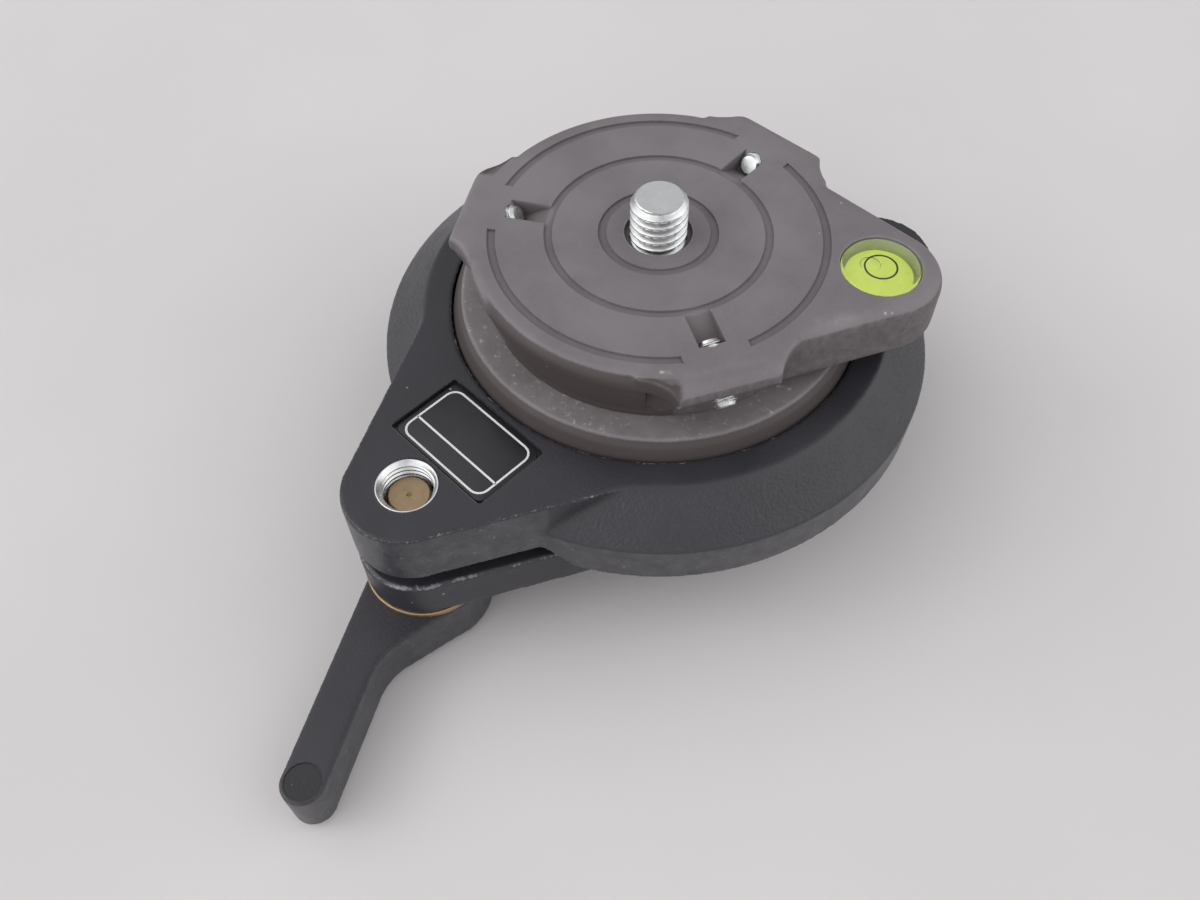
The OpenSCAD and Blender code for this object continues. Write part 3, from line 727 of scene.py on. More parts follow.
@dataclass(frozen=True)
class PaintFinish(Finish):
    """Paint or powder coat on a casting, rubbed through at its edges, which are also pale as a painted
    highlight; its pale haze is partly painted light, and its soiled walls partly painted shade.
    """

    tone_ramp: Point = (0.3, 0.72)
    gloss_ramp: Point = (0.25, 0.75)
    gloss_spread: Point = (-0.04, 0.06)
    # dark: colour of darker creases, and of walls darkened as dirt and as painted shade
    dark: Colour = (0.0, 0.0, 0.0)
    # pale colour of worn edges and dust, and of painted highlights on edges and painted light on walls and
    # tops
    pale_wear_dust_and_light: Colour = (0.3, 0.3, 0.3)
    edge_start: float = 0.12
    edge_spread: float = 0.1
    edge_broken: float = 0.25
    edge_share: float = 0.9
    rub_gloss: float = 0.08
    crease_dark: float = 0.6
    tones: Point = (0.86, 1.16)
    pit_share: float = 0.2
    fine: float = 1500.0
    rough: float = 700.0
    bump: float = 0.2
    bump_depth: float = 0.25
    specks: float = 0.012
    speck_size: float = 500.0
    speck_colour: Colour = (0.5, 0.5, 0.48)
    specular: float = 0.5
    torn_size: float = 800.0
    torn_scuff: float = 1.6
    torn_soil_and_shade: float = 0.7
    scuff_ramp: Point = (0.42, 0.72)
    haze_size: float = 420.0
    haze_ramp: Point = (0.04, 0.34)
    haze_share: float = 0.5
    soil_and_shade_ramp: Point = (0.1, 0.9)
    soil_and_shade_share: float = 0.92
    chip_share: float = 0.85
    chip_depth: float = 0.15
    lump_size: float = 620.0
    lump_ramp: Point = (0.04, 0.25)
    edge_lumps: float = 0.0

    def make(self, effects: Effects) -> bpy.types.Material:
        """Builds the material from the shared effects."""
        material, n, shader, place = self.start()
        lift, coarse, scuff_and_light, soil_and_shade = (
            n.add("ShaderNodeAttribute", attribute_name=name).outputs["Fac"]
            for name in (LIFT, COARSE, SCUFF_AND_LIGHT, SOIL_AND_SHADE))
        grain = self.effect(n, effects.grain, {
            "Place": place, "Fine": self.fine, "Rough": self.rough, "Rough Share": coarse})
        wear_and_highlight = self.effect(n, effects.wear_and_highlight, {
            "Place": place, "Lift": lift, "Start": self.edge_start, "Spread": self.edge_spread,
            "Broken": self.edge_broken})
        tone, gloss = self.smudged(n, effects, place)
        specks = self.effect(n, effects.specks, {
            "Place": place, "Size": self.speck_size, "Cover": self.specks})
        torn = n.noise(place, self.torn_size, detail=6.0, rough=0.72)
        scuffed = n.ramp(n.calc("ADD", scuff_and_light, n.around(torn, self.torn_scuff)), *self.scuff_ramp)
        chips = n.calc("MAXIMUM", specks.outputs["Mask"], scuffed)
        # Pale haze: dust at the marks, and painted light where the rim's wall, the lever's sides and the
        # disc's top are lightened
        dusty = n.calc("MULTIPLY", scuff_and_light, n.noise(place, self.haze_size, detail=6.0, rough=0.7))
        dust_and_light_haze = n.ramp(dusty, *self.haze_ramp, 0.0, self.haze_share)
        deeper, lighter = (tuple(min(1.0, c * part) for c in self.colour) for part in self.tones)
        colour = n.blend(tone, deeper, lighter)
        colour = n.blend(n.calc("MULTIPLY", grain.outputs["Pits"], self.pit_share), colour, lighter)
        # Walls darkened as dirt and as painted shade, in one mask
        soiled_and_shaded = n.ramp(n.calc("ADD", soil_and_shade, n.around(torn, self.torn_soil_and_shade)), *self.soil_and_shade_ramp)
        # Creases and hollows come out darker
        crease_dark = n.calc("MULTIPLY", wear_and_highlight.outputs["Crease Dark"], self.crease_dark)
        darkening = n.calc("MAXIMUM", crease_dark, n.calc("MULTIPLY", soiled_and_shaded, self.soil_and_shade_share))
        colour = n.blend(darkening, colour, self.dark)
        # Standing edges turn pale: worn paint and a painted highlight
        colour = n.blend(n.calc("MULTIPLY", wear_and_highlight.outputs["Mask"], self.edge_share), colour, self.pale_wear_dust_and_light)
        colour = n.blend(dust_and_light_haze, colour, self.pale_wear_dust_and_light)
        colour = n.blend(n.calc("MULTIPLY", chips, self.chip_share), colour, self.speck_colour)
        n.put(shader.inputs["Base Color"], colour)
        dulled = n.calc("MULTIPLY", wear_and_highlight.outputs["Mask"], self.rub_gloss)
        n.put(shader.inputs["Roughness"], n.calc("ADD", gloss, dulled))
        n.put(shader.inputs["Specular IOR Level"], self.specular)
        lumpy = n.ramp(lift, *self.lump_ramp, 0.0, self.edge_lumps)
        lumps = n.calc("MULTIPLY", n.noise(place, self.lump_size, detail=3.0), lumpy)
        raised = n.calc("ADD", grain.outputs["Height"], lumps)
        height = n.calc("SUBTRACT", raised, n.calc("MULTIPLY", chips, self.chip_depth))
        self.emboss(n, shader, height, self.bump, self.bump_depth)
        return material


@dataclass(frozen=True)
class MetalFinish(Finish):
    """Bare or plated metal with fine turning lines and dull spots."""

    tone_ramp: Point = (0.45, 0.75)
    smudge_size: float = 260.0
    dull: Colour = (0.3, 0.3, 0.3)
    dull_share: float = 0.4
    chip_size: float = 900.0
    chip_cover: float = 0.12
    chip_share: float = 0.35
    line: float = 2500.0
    line_stretch: Triple = (0.25, 0.25, 1.0)
    bump: float = 0.05
    bump_depth: float = 0.1

    def make(self, effects: Effects) -> bpy.types.Material:
        """Builds the material from the shared effects."""
        material, n, shader, place = self.start()
        tone, gloss = self.smudged(n, effects, place)
        chips = self.effect(n, effects.specks, {
            "Place": place, "Size": self.chip_size, "Cover": self.chip_cover})
        colour = n.blend(n.calc("MULTIPLY", tone, self.dull_share), self.colour, self.dull)
        colour = n.blend(n.calc("MULTIPLY", chips.outputs["Mask"], self.chip_share), colour, self.dull)
        n.put(shader.inputs["Base Color"], colour)
        n.put(shader.inputs["Metallic"], 1.0)
        n.put(shader.inputs["Roughness"], gloss)
        lines = n.noise(n.stretch(place, self.line_stretch), self.line, detail=2.0)
        self.emboss(n, shader, lines, self.bump, self.bump_depth)
        return material


@dataclass(frozen=True)
class PlainFinish(Finish):
    """Moulded, printed or pressed material with a fine tooth and dust; a glow, where it has one, is painted
    light.
    """

    gloss_ramp: Point = (0.3, 0.7)
    gloss_spread: Point = (-0.05, 0.07)
    smudge_size: float = 180.0
    second: Colour = (0.1, 0.1, 0.1)
    tooth: float = 1800.0
    bump: float = 0.08
    bump_depth: float = 0.1
    dust: float = 0.02
    dust_size: float = 700.0
    dust_share: float = 0.6
    dust_colour: Colour = (0.4, 0.4, 0.4)
    # glow: strength of an emission that is painted light, not a lamp
    glow: float = 0.0

    def make(self, effects: Effects) -> bpy.types.Material:
        """Builds the material from the shared effects."""
        material, n, shader, place = self.start()
        tone, gloss = self.smudged(n, effects, place)
        specks = self.effect(n, effects.specks, {"Place": place, "Size": self.dust_size, "Cover": self.dust})
        colour = n.blend(tone, self.colour, self.second)
        dusty = n.calc("MULTIPLY", specks.outputs["Mask"], self.dust_share)
        colour = n.blend(dusty, colour, self.dust_colour)
        n.put(shader.inputs["Base Color"], colour)
        n.put(shader.inputs["Roughness"], gloss)
        self.emboss(n, shader, n.noise(place, self.tooth, detail=2.0), self.bump, self.bump_depth)
        # Painted light: the emission makes the surface glow though it is no lamp
        if self.glow:
            n.put(shader.inputs["Emission Color"], colour)
            n.put(shader.inputs["Emission Strength"], self.glow)
        return material


@dataclass(frozen=True)
class ClearFinish(Finish):
    """Clear acrylic, or the air of a bubble inside it."""

    gloss_ramp: Point = (0.35, 0.8)
    gloss_spread: Point = (0.0, 0.02)
    smudge_size: float = 150.0
    second_share: float = 0.96
    ior: float = 1.49

    def make(self, effects: Effects) -> bpy.types.Material:
        """Builds the material from the shared effects."""
        material, n, shader, place = self.start()
        tone, gloss = self.smudged(n, effects, place)
        second = tuple(self.second_share * c for c in self.colour)
        n.put(shader.inputs["Base Color"], n.blend(tone, self.colour, second))
        n.put(shader.inputs["Roughness"], gloss)
        n.put(shader.inputs["Transmission Weight"], 1.0)
        n.put(shader.inputs["IOR"], self.ior)
        return material


FINISHES: tuple[Finish, ...] = (
    # In these coats the dark colour darkens creases, and on the taupe also walls as dirt and painted shade;
    # the pale colour shows wear and dust, painted highlights and painted light
    PaintFinish(Slot.COAT, (0.024, 0.0228, 0.028), 0.36, dark=(0.006, 0.006, 0.007), pale_wear_dust_and_light=(0.2, 0.2, 0.21),
                edge_start=0.25, edge_spread=0.06, edge_broken=0.6, edge_share=0.75, fine=2100.0, rough=1700.0,
                bump=0.6, speck_size=600.0, speck_colour=(0.3, 0.3, 0.3), edge_lumps=1.0),
    PaintFinish(Slot.TAUPE, (0.16, 0.144, 0.151), 0.5, dark=(0.048, 0.036, 0.034), pale_wear_dust_and_light=(0.3, 0.275, 0.26),
                edge_start=0.1, edge_spread=0.25, edge_broken=0.2, edge_share=0.6, crease_dark=0.25, rough=900.0,
                bump=0.14, speck_size=520.0, speck_colour=(0.5, 0.47, 0.44), specular=0.4),
    MetalFinish(Slot.STEEL, (0.7, 0.705, 0.7), 0.31, dull=(0.5, 0.5, 0.48), dull_share=0.35, bump=0.02),
    MetalFinish(Slot.OXIDE, (0.1, 0.1, 0.105), 0.38, dull=(0.04, 0.04, 0.04)),
    MetalFinish(Slot.BRASS, (0.37, 0.275, 0.165), 0.48, dull=(0.24, 0.175, 0.09), dull_share=0.7, bump=0.06),
    PlainFinish(Slot.LABEL, (0.011, 0.011, 0.013), 0.34, second=(0.015, 0.015, 0.017)),
    PlainFinish(Slot.FIBRE, (0.26, 0.14, 0.055), 0.7, second=(0.18, 0.09, 0.035), tooth=900.0, bump=0.3),
    PlainFinish(Slot.NYLON, (0.66, 0.62, 0.53), 0.45, second=(0.58, 0.54, 0.45)),
    PlainFinish(Slot.BACKING, (0.72, 0.72, 0.7), 0.5, second=(0.62, 0.62, 0.6)),
    ClearFinish(Slot.ACRYLIC, (0.97, 0.99, 0.93), 0.0),
    # The liquid's glow is painted light: it stands in for the light that barely reaches the liquid through
    # the clear body
    PlainFinish(Slot.LIQUID, (0.62, 0.74, 0.13), 0.3, second=(0.58, 0.7, 0.11), bump=0.0, dust=0.0, glow=0.4),
    ClearFinish(Slot.BUBBLE, (1.0, 1.0, 0.97), 0.0, ior=0.75),
    PlainFinish(Slot.INK, (0.008, 0.009, 0.005), 0.6, second=(0.012, 0.013, 0.008), bump=0.0, dust=0.0),
)


class Wardrobe:
    """All materials of the object by slot."""

    def __init__(self) -> None:
        """Builds each finish once."""
        effects = Effects()
        self.materials = {finish.slot: finish.make(effects) for finish in FINISHES}

    def dress(self, obj: bpy.types.Object, slot: Slot) -> None:
        """Gives an object one slot's material, all over."""
        obj.data.materials.clear()
        obj.data.materials.append(self.materials[slot])


# Sub-assemblies


@dataclass
class SubAssembly:
    """A group of pieces, with the materials that dress them."""

    wardrobe: Wardrobe
    pieces: list[bpy.types.Object] = field(default_factory=list)

    def fit(self, obj: bpy.types.Object, body: Body, slot: Slot, *nodes: str) -> None:
        """Dresses a finished piece and fixes it to its body.

        Args:
            obj: The piece, in its place.
            body: The body that it rides on.
            slot: The material slot that it takes its finish from.
            *nodes: CAD nodes that it stands for.
        """
        self.wardrobe.dress(obj, slot)
        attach(obj, body.value)
        if nodes:
            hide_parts(*nodes)
        self.pieces.append(obj)
        LOG.info("%s rides on %s, %d faces", obj.name, body.value, len(obj.data.polygons))

    def keep(self, slot: Slot, *nodes: str) -> None:
        """Dresses CAD nodes whose shape is right as it is."""
        for node in nodes:
            self.wardrobe.dress(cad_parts[node], slot)
            LOG.info("%s keeps its shape", node)


@dataclass(frozen=True)
class Mark:
    """Chip or scuff along a short line, in millimetres."""

    start: Triple
    end: Triple
    reach: float
    depth: float

    def over(self, places: np.ndarray) -> np.ndarray:
        """Returns the damage at each place, fading with the distance from the line."""
        start = np.array(self.start)
        way = np.subtract(self.end, self.start)
        along = np.clip((places - start) @ way / max(float(way @ way), TINY), 0, 1)
        apart = np.linalg.norm(places - start - along[:, None] * way, axis=1)
        return self.depth * np.exp(-(apart / self.reach) ** 2)


@dataclass
class Casting:
    """A cast piece, made from a copy of its solid with softened edges. Sizes in millimetres."""

    node: str
    name: str
    voxel: float
    soften: int
    feel: int = 24
    weld: float = 0.0002
    relax: float = 0.5
    least_weight: float = 0.01
    leaning: Point = (0.2, 0.5)
    limit: int = 190000

    def copy(self) -> bpy.types.Object:
        """Returns a merged copy of the node's solid."""
        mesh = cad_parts[self.node].data.copy()
        mesh.name = self.name
        mesh.materials.clear()
        obj = place_new(self.name, mesh)
        with editing(obj):
            bpy.ops.mesh.remove_doubles(threshold=self.weld * MM)
        return obj

    def cast(self, obj: bpy.types.Object, plugs: Sequence[bpy.types.Object] = ()) -> None:
        """Turns the copy into one even skin and softens its edges.

        Args:
            obj: The copy of the solid.
            plugs: Solids that fill hollows, which are cut again later with crisp edges.
        """
        if plugs:
            join(obj, plugs)
        apply_modifier(obj, "REMESH", mode="VOXEL", voxel_size=self.voxel * MM, adaptivity=0.0)
        apply_modifier(obj, "SMOOTH", factor=self.relax, iterations=self.soften)

    def soften_some(self, obj: bpy.types.Object, weights: np.ndarray, steps: int) -> None:
        """Softens part of the skin further.

        Args:
            obj: The skin.
            weights: How much each point takes part, from 0 to 1.
            steps: Steps of smoothing.
        """
        group = obj.vertex_groups.new(name="soft")
        for index in np.flatnonzero(weights > self.least_weight):
            group.add([int(index)], float(weights[index]), "REPLACE")
        apply_modifier(obj, "SMOOTH", factor=self.relax, iterations=steps, vertex_group=group.name)
        obj.vertex_groups.clear()

    def feel_edges(self, obj: bpy.types.Object) -> None:
        """Stores how far each point stands out of its surroundings, in millimetres.

        Args:
            obj: The finished skin.
        """
        worn = place_new("worn", obj.data.copy())
        apply_modifier(worn, "SMOOTH", factor=self.relax, iterations=self.feel)
        apart = (coordinates(obj.data) - coordinates(worn.data)) / MM
        lift = (apart * normals_of(obj.data)).sum(axis=1)
        store(obj.data, LIFT, lift)
        LOG.info("%s: lift from %.2f to %.2f mm", self.name, *np.percentile(lift, (1, 99)))
        bpy.data.objects.remove(worn, do_unlink=True)

    @staticmethod
    def scuff_and_light(obj: bpy.types.Object, marks: Sequence[Mark], dust: float | np.ndarray = 0.0) -> None:
        """Stores where the paint is chipped, scuffed or dusty, and where a pale film is painted light.

        Args:
            obj: The finished skin.
            marks: Places of the damage.
            dust: Least value at each point, for a pale film that is painted light on walls and tops.
        """
        places = coordinates(obj.data) / MM
        depth = np.zeros(len(places)) + dust
        for mark in marks:
            depth = np.maximum(depth, mark.over(places))
        store(obj.data, SCUFF_AND_LIGHT, depth)

    def upright(self, obj: bpy.types.Object) -> np.ndarray:
        """Returns how upright the skin is at each point, from 0 to 1."""
        return 1.0 - ease(np.abs(normals_of(obj.data)[:, 2]), *self.leaning)

    def thin(self, obj: bpy.types.Object) -> None:
        """Brings a dense skin below the limit of triangles."""
        count = sum(len(face.vertices) - 2 for face in obj.data.polygons)
        if count > self.limit:
            apply_modifier(obj, "DECIMATE", ratio=self.limit / count)
        LOG.info("%s: %d triangles", self.name, min(count, self.limit))


@dataclass
class ClampBase(SubAssembly):
    """Bowl, clamp ring, name plate and the fittings that stay with them. Sizes in millimetres."""

    clamp_y: float = -56.5
    plateau_z: float = 36.3
    jaw_z: float = 24.9
    skirt_z: float = 21.0
    over: float = 1.0
    bowl_marks: tuple[Mark, ...] = (
        Mark((3.2, -66.7, 21.3), (6.3, -65.0, 21.3), 0.5, 0.9),
        Mark((-6.0, -65.0, 21.2), (2.0, -67.3, 21.2), 0.4, 0.3))
    rim_r: float = 48.5
    rim_top: float = 29.25
    rim_wall_light: float = 0.27
    rim_band: Point = (1.2, 0.5)
    collar_r: float = 40.6
    cone_slope: float = 0.746
    cone_spread: float = 0.12
    cone_hold: float = 1.6
    cone_fade: float = 1.5
    cone_drop: float = 0.5
    cone_grain: float = 1.3
    slot_half: float = 16.6
    slot_flare: float = 6.0
    slot_y: float = -24.0
    insert_r: float = 5.05
    insert_fit: float = 0.02
    insert_edge: float = 0.16
    insert_plug: float = 0.6
    spared: Point = (0.8, 2.2)
    bore_r: float = 4.08
    bore_pitch: float = 1.0
    bore_depth: float = 0.34
    bore_run: float = 8.0
    mouth_edge: float = 0.7
    mouth_bevel: float = 0.06
    label_y: float = -44.15
    label_w: float = 21.0
    label_h: float = 13.0
    label_t: float = 0.4
    label_sink: float = 0.5
    label_corner: float = 1.4
    label_edge: float = 0.08
    recess_fit: float = 0.3
    recess_corner: float = 0.45
    recess_plug: float = 2.0
    plug_corner: float = 0.5
    border_w: float = 19.3
    border_h: float = 12.0
    border_r: float = 2.1
    border_line: float = 0.36
    line_drop: float = 0.19
    line_corner: float = 0.05
    ink: Point = (0.005, 0.02)
    bush_r: float = 8.0
    bush_bore: float = 4.8225
    bush_h: float = 13.0
    bush_edge: float = 0.3
    bush_pitch: float = 1.5875
    bush_depth: float = 0.8
    bush_lead: float = 0.9

    def build(self) -> None:
        """Builds and dresses all pieces of the base."""
        self._bowl()
        self._ring()
        self._insert()
        self._label()
        self._bush()
        self.keep(Slot.OXIDE, "heel_screws")

    def _bowl(self) -> None:
        """Builds the lower casting."""
        casting = Casting("base_bowl", "bowl_casting", voxel=0.5, soften=5)
        bowl = casting.copy()
        casting.cast(bowl)
        casting.feel_edges(bowl)
        casting.scuff_and_light(bowl, self.bowl_marks)
        casting.thin(bowl)
        shade(bowl, 60)
        self.fit(bowl, Body.BASE, Slot.COAT, "base_bowl")

    def _ring(self) -> None:
        """Builds the upper casting, with its label recess, insert hole and slot cut crisp."""
        casting = Casting("clamp_ring", "ring_casting", voxel=0.45, soften=4)
        ring = casting.copy()
        plug = drum("insert_plug", self.insert_r + self.insert_plug, self.jaw_z, self.plateau_z, 48)
        slide(plug, self.clamp_y)
        fill = self._slab("recess_plug", self.label_w + self.recess_plug, self.label_h + self.recess_plug,
                          self.plateau_z - self.recess_plug, self.plateau_z, self.plug_corner)
        casting.cast(ring, (plug, fill))
        for tool in self._ring_cuts():
            combine(ring, tool, Cut.REMOVE, SHARP)
        casting.feel_edges(ring)
        self._spare_insert(ring)
        self._mark_cone(ring)
        # Painted light: the rim's upright wall is lightened with the pale haze
        near, far = self.rim_band
        on_rim = ease(reach_of(coordinates(ring.data) / MM), self.rim_r - near, self.rim_r - far)
        casting.scuff_and_light(ring, (), self.rim_wall_light * casting.upright(ring) * on_rim)
        casting.thin(ring)
        shade(ring, 40)
        self.fit(ring, Body.BASE, Slot.COAT, "clamp_ring")

    def _ring_cuts(self) -> Iterator[bpy.types.Object]:
        """Yields the cutters of the ring: the label's recess, the insert's hole and the slot's open end."""
        fit = 2 * self.recess_fit
        sunk = self.plateau_z - self.label_t - self.label_sink
        above = self.plateau_z + self.over
        yield self._slab("recess_cut", self.label_w + fit, self.label_h + fit, sunk, above,
                         self.recess_corner)
        hole = drum("insert_cut", self.insert_r, self.jaw_z - self.over, above, 64)
        yield slide(hole, self.clamp_y)
        wide = self.slot_half + self.slot_flare
        low = self.skirt_z - self.over
        corners = [(-self.slot_half, self.jaw_z), (self.slot_half, self.jaw_z), (wide, self.skirt_z),
                   (wide, low), (-wide, low), (-wide, self.skirt_z)]
        outline = [Vector((x, self.slot_y, z)) for x, z in corners]
        yield extrusion("slot_cut", outline, Vector((0, self.clamp_y, 0)))

    def _spare_insert(self, ring: bpy.types.Object) -> None:
        """Takes the worn edges, their painted highlight and the crease darkening away round the insert's
        hole.
        """
        places = coordinates(ring.data) / MM
        apart = np.hypot(places[:, 0], places[:, 1] - self.clamp_y)
        lift = np.empty(len(places), np.float32)
        ring.data.attributes[LIFT].data.foreach_get("value", lift)
        near, far = self.spared
        store(ring.data, LIFT, lift * ease(apart, self.insert_r + near, self.insert_r + far))

    def _mark_cone(self, ring: bpy.types.Object) -> None:
        """Stores where the sloping flange has its coarse grain."""
        places = coordinates(ring.data) / MM
        off_slope = np.abs(normals_of(ring.data)[:, 2] - self.cone_slope)
        sloping = np.clip(self.cone_hold - off_slope / self.cone_spread, 0, 1)
        outside = np.clip((reach_of(places) - self.collar_r) / self.cone_fade, 0, 1)
        above = places[:, 2] > self.rim_top - self.cone_drop
        store(ring.data, COARSE, self.cone_grain * (sloping * outside) * above)

    def _slab(self, name: str, width: float, length: float, low: float, high: float,
              corner: float) -> bpy.types.Object:
        """Makes a flat slab with rounded corners at the label's place.

        Args:
            name: Name of the new object.
            width: Size along X.
            length: Size along Y.
            low: Height of its underside.
            high: Height of its face.
            corner: Radius of its corners.

        Returns:
            The slab.
        """
        deselect()
        bpy.ops.mesh.primitive_plane_add(size=1.0)
        slab = bpy.context.active_object
        slab.name = slab.data.name = name
        slab.scale = (width * MM, length * MM, 1.0)
        slab.location = (0, self.label_y * MM, low * MM)
        bpy.ops.object.transform_apply(location=True, rotation=True, scale=True)
        with editing(slab):
            bpy.ops.mesh.bevel(offset=corner * MM, segments=5, affect="VERTICES")
            bpy.ops.mesh.select_all(action="SELECT")
            bpy.ops.mesh.extrude_region_move(TRANSFORM_OT_translate={"value": (0, 0, (high - low) * MM)})
        tidy_mesh(slab)
        return slab

    def _insert(self) -> None:
        """Builds the bright threaded sleeve in the upper jaw."""
        top = self.plateau_z
        thread = Thread(self.bore_r, self.bore_pitch, self.bore_depth, top - self.bore_run,
                        top - self.mouth_edge, Side.INSIDE)
        wall = self.insert_r - self.insert_fit
        lip = self.bore_r + self.mouth_edge
        outside = [(self.bore_r, self.jaw_z), (wall, self.jaw_z), *round_over(wall, top, self.insert_edge, 3)]
        mouth = [(lip + self.insert_fit, top), (lip - self.mouth_bevel, top - self.mouth_bevel)]
        inside = [(self.bore_r, z) for z in reversed(thread.heights())]
        sleeve = lathe("jaw_sleeve", [*outside, *mouth, *inside, (self.bore_r, self.jaw_z)])
        thread.chase(sleeve)
        slide(sleeve, self.clamp_y)
        self.fit(sleeve, Body.BASE, Slot.STEEL, "jaw_insert")

    def _label(self) -> None:
        """Builds the bare name plate and its printed border."""
        top = self.plateau_z - self.label_sink
        plate = self._slab("name_plate_blank", self.label_w, self.label_h, top - self.label_t, top,
                           self.label_corner)
        with editing(plate):
            pick(plate, faces_up)
            bpy.ops.mesh.bevel(offset=self.label_edge * MM, segments=2, affect="EDGES")
        shade(plate, 50)
        self.fit(plate, Body.BASE, Slot.LABEL, "name_plate")
        low, high = (top + height for height in self.ink)
        border = self._slab("label_border", self.border_w, self.border_h, low, high, self.border_r)
        with editing(border):
            pick(border, lies_flat)
            bpy.ops.mesh.inset(thickness=self.border_line * MM, use_boundary=True)
            bpy.ops.mesh.delete(type="FACE")
            bpy.ops.mesh.select_mode(type="EDGE")
            bpy.ops.mesh.select_all(action="DESELECT")
            bpy.ops.mesh.select_non_manifold()
            bpy.ops.mesh.bridge_edge_loops()
        tidy_mesh(border)
        line = self._slab("label_line", self.border_w - self.border_line, self.border_line, low, high,
                          self.line_corner)
        slide(line, -self.border_h * self.line_drop)
        join(border, (line,))
        self.fit(border, Body.BASE, Slot.BACKING)

    def _bush(self) -> None:
        """Builds the threaded bush in the foot."""
        core, top, edge = self.bush_bore - self.bush_depth, self.bush_h, self.bush_edge
        thread = Thread(core, self.bush_pitch, self.bush_depth, self.bush_lead, top - self.bush_lead,
                        Side.INSIDE)
        low = [(self.bush_bore + edge, 0.0), (self.bush_r - edge, 0.0), (self.bush_r, edge)]
        high = [(self.bush_r, top - edge), (self.bush_r - edge, top), (self.bush_bore + edge, top)]
        wall = [(core, z) for z in reversed(thread.heights())]
        bush = lathe("foot_bush", [*low, *high, *wall, low[0]])
        thread.chase(bush)
        self.fit(bush, Body.BASE, Slot.STEEL, "mount_bush")


@dataclass
class LeverGroup(SubAssembly):
    """Clamp lever with its bolt and washer. Sizes in millimetres."""

    clamp_y: float = -56.5
    lever_top: float = 11.7
    reach: float = 41.2
    offset: float = -5.5
    turn: float = -60.0
    over: float = 1.0
    lever_side_light: float = 0.24
    mark_r: float = 3.0
    mark_depth: float = 0.2
    mark_flare: float = 0.1
    plug_over: float = 0.4
    plug_h: float = 2.0
    hex_r: float = 6.928
    hex_h: float = 6.5
    hex_edge: float = 0.4
    bolt_r: float = 4.0
    bolt_top: float = 33.7
    end_r: float = 3.35
    end_run: Point = (2.0, 1.7)
    end_edge: float = 0.15
    centre_r: Point = (0.45, 0.1)
    centre_depth: Point = (0.4, 0.42)
    hole_r: float = 2.05
    hole_h: float = 7.0
    washer_r: float = 10.6
    washer_bore: float = 4.5
    washer_t: float = 1.1
    washer_edge: float = 0.25
    washer_bevel: float = 0.2

    def build(self) -> None:
        """Builds and dresses the lever's pieces."""
        self._lever()
        self._bolt()
        self._washer()
        self.keep(Slot.OXIDE, "lever_screw")

    def _lever(self) -> None:
        """Builds the lever, with its round end mark cut crisp."""
        casting = Casting("clamp_lever", "lever_casting", voxel=0.36, soften=8)
        lever = casting.copy()
        spot = Vector((0, self.clamp_y, 0)) + turned(self.turn) @ Vector((self.reach, self.offset, 0))
        place = Matrix.Translation(spot * MM)
        plug = prism("mark_plug", self.mark_r + self.plug_over, self.lever_top - self.plug_h, self.lever_top,
                     48)
        plug.data.transform(place)
        casting.cast(lever, (plug,))
        sunk = self.lever_top - self.mark_depth
        above = self.lever_top + self.over
        mark = lathe("mark_cut", [(0, sunk), (self.mark_r, sunk), (self.mark_r + self.mark_flare, above),
                                  (0, above)], 64)
        mark.data.transform(place)
        combine(lever, mark, Cut.REMOVE, SHARP)
        casting.feel_edges(lever)
        # Painted light: the lever's upright sides are lightened with the pale haze
        casting.scuff_and_light(lever, (), self.lever_side_light * casting.upright(lever))
        casting.thin(lever)
        shade(lever, 30)
        self.fit(lever, Body.LEVER, Slot.COAT, "clamp_lever")

    def _bolt(self) -> None:
        """Builds the brass bolt with its hexagon, narrow bevelled end and centre mark."""
        low, top, edge = self.lever_top - self.hex_h, self.bolt_top, self.end_edge
        shank = [(0, low), (self.bolt_r, low), (self.bolt_r, top - self.end_run[0])]
        end = [(self.end_r, top - self.end_run[1]), (self.end_r, top - edge), (self.end_r - edge, top)]
        centre = [(self.centre_r[0], top), (self.centre_r[1], top - self.centre_depth[0]),
                  (0, top - self.centre_depth[1])]
        bolt = lathe("brass_bolt", [*shank, *end, *centre], 72)
        combine(bolt, prism("bolt_hexagon", self.hex_r, low, self.lever_top, 6, self.hex_edge), Cut.JOIN)
        combine(bolt, prism("bolt_hole", self.hole_r, low - self.over, low + self.hole_h, 48), Cut.REMOVE)
        slide(bolt, self.clamp_y)
        shade(bolt, 30)
        self.fit(bolt, Body.LEVER, Slot.BRASS, "clamp_bolt")

    def _washer(self) -> None:
        """Builds the brass washer with rounded edges."""
        low, top = self.lever_top, self.lever_top + self.washer_t
        outside = round_over(self.washer_r, top, self.washer_edge, 4)
        under = [(r, low + top - z) for r, z in reversed(outside)]
        bore = [(self.washer_bore + self.washer_bevel, top), (self.washer_bore, top - self.washer_bevel),
                (self.washer_bore, low)]
        washer = lathe("brass_washer", [(self.washer_bore, low), *under, *outside, *bore])
        slide(washer, self.clamp_y)
        self.fit(washer, Body.LEVER, Slot.BRASS, "clamp_washer")


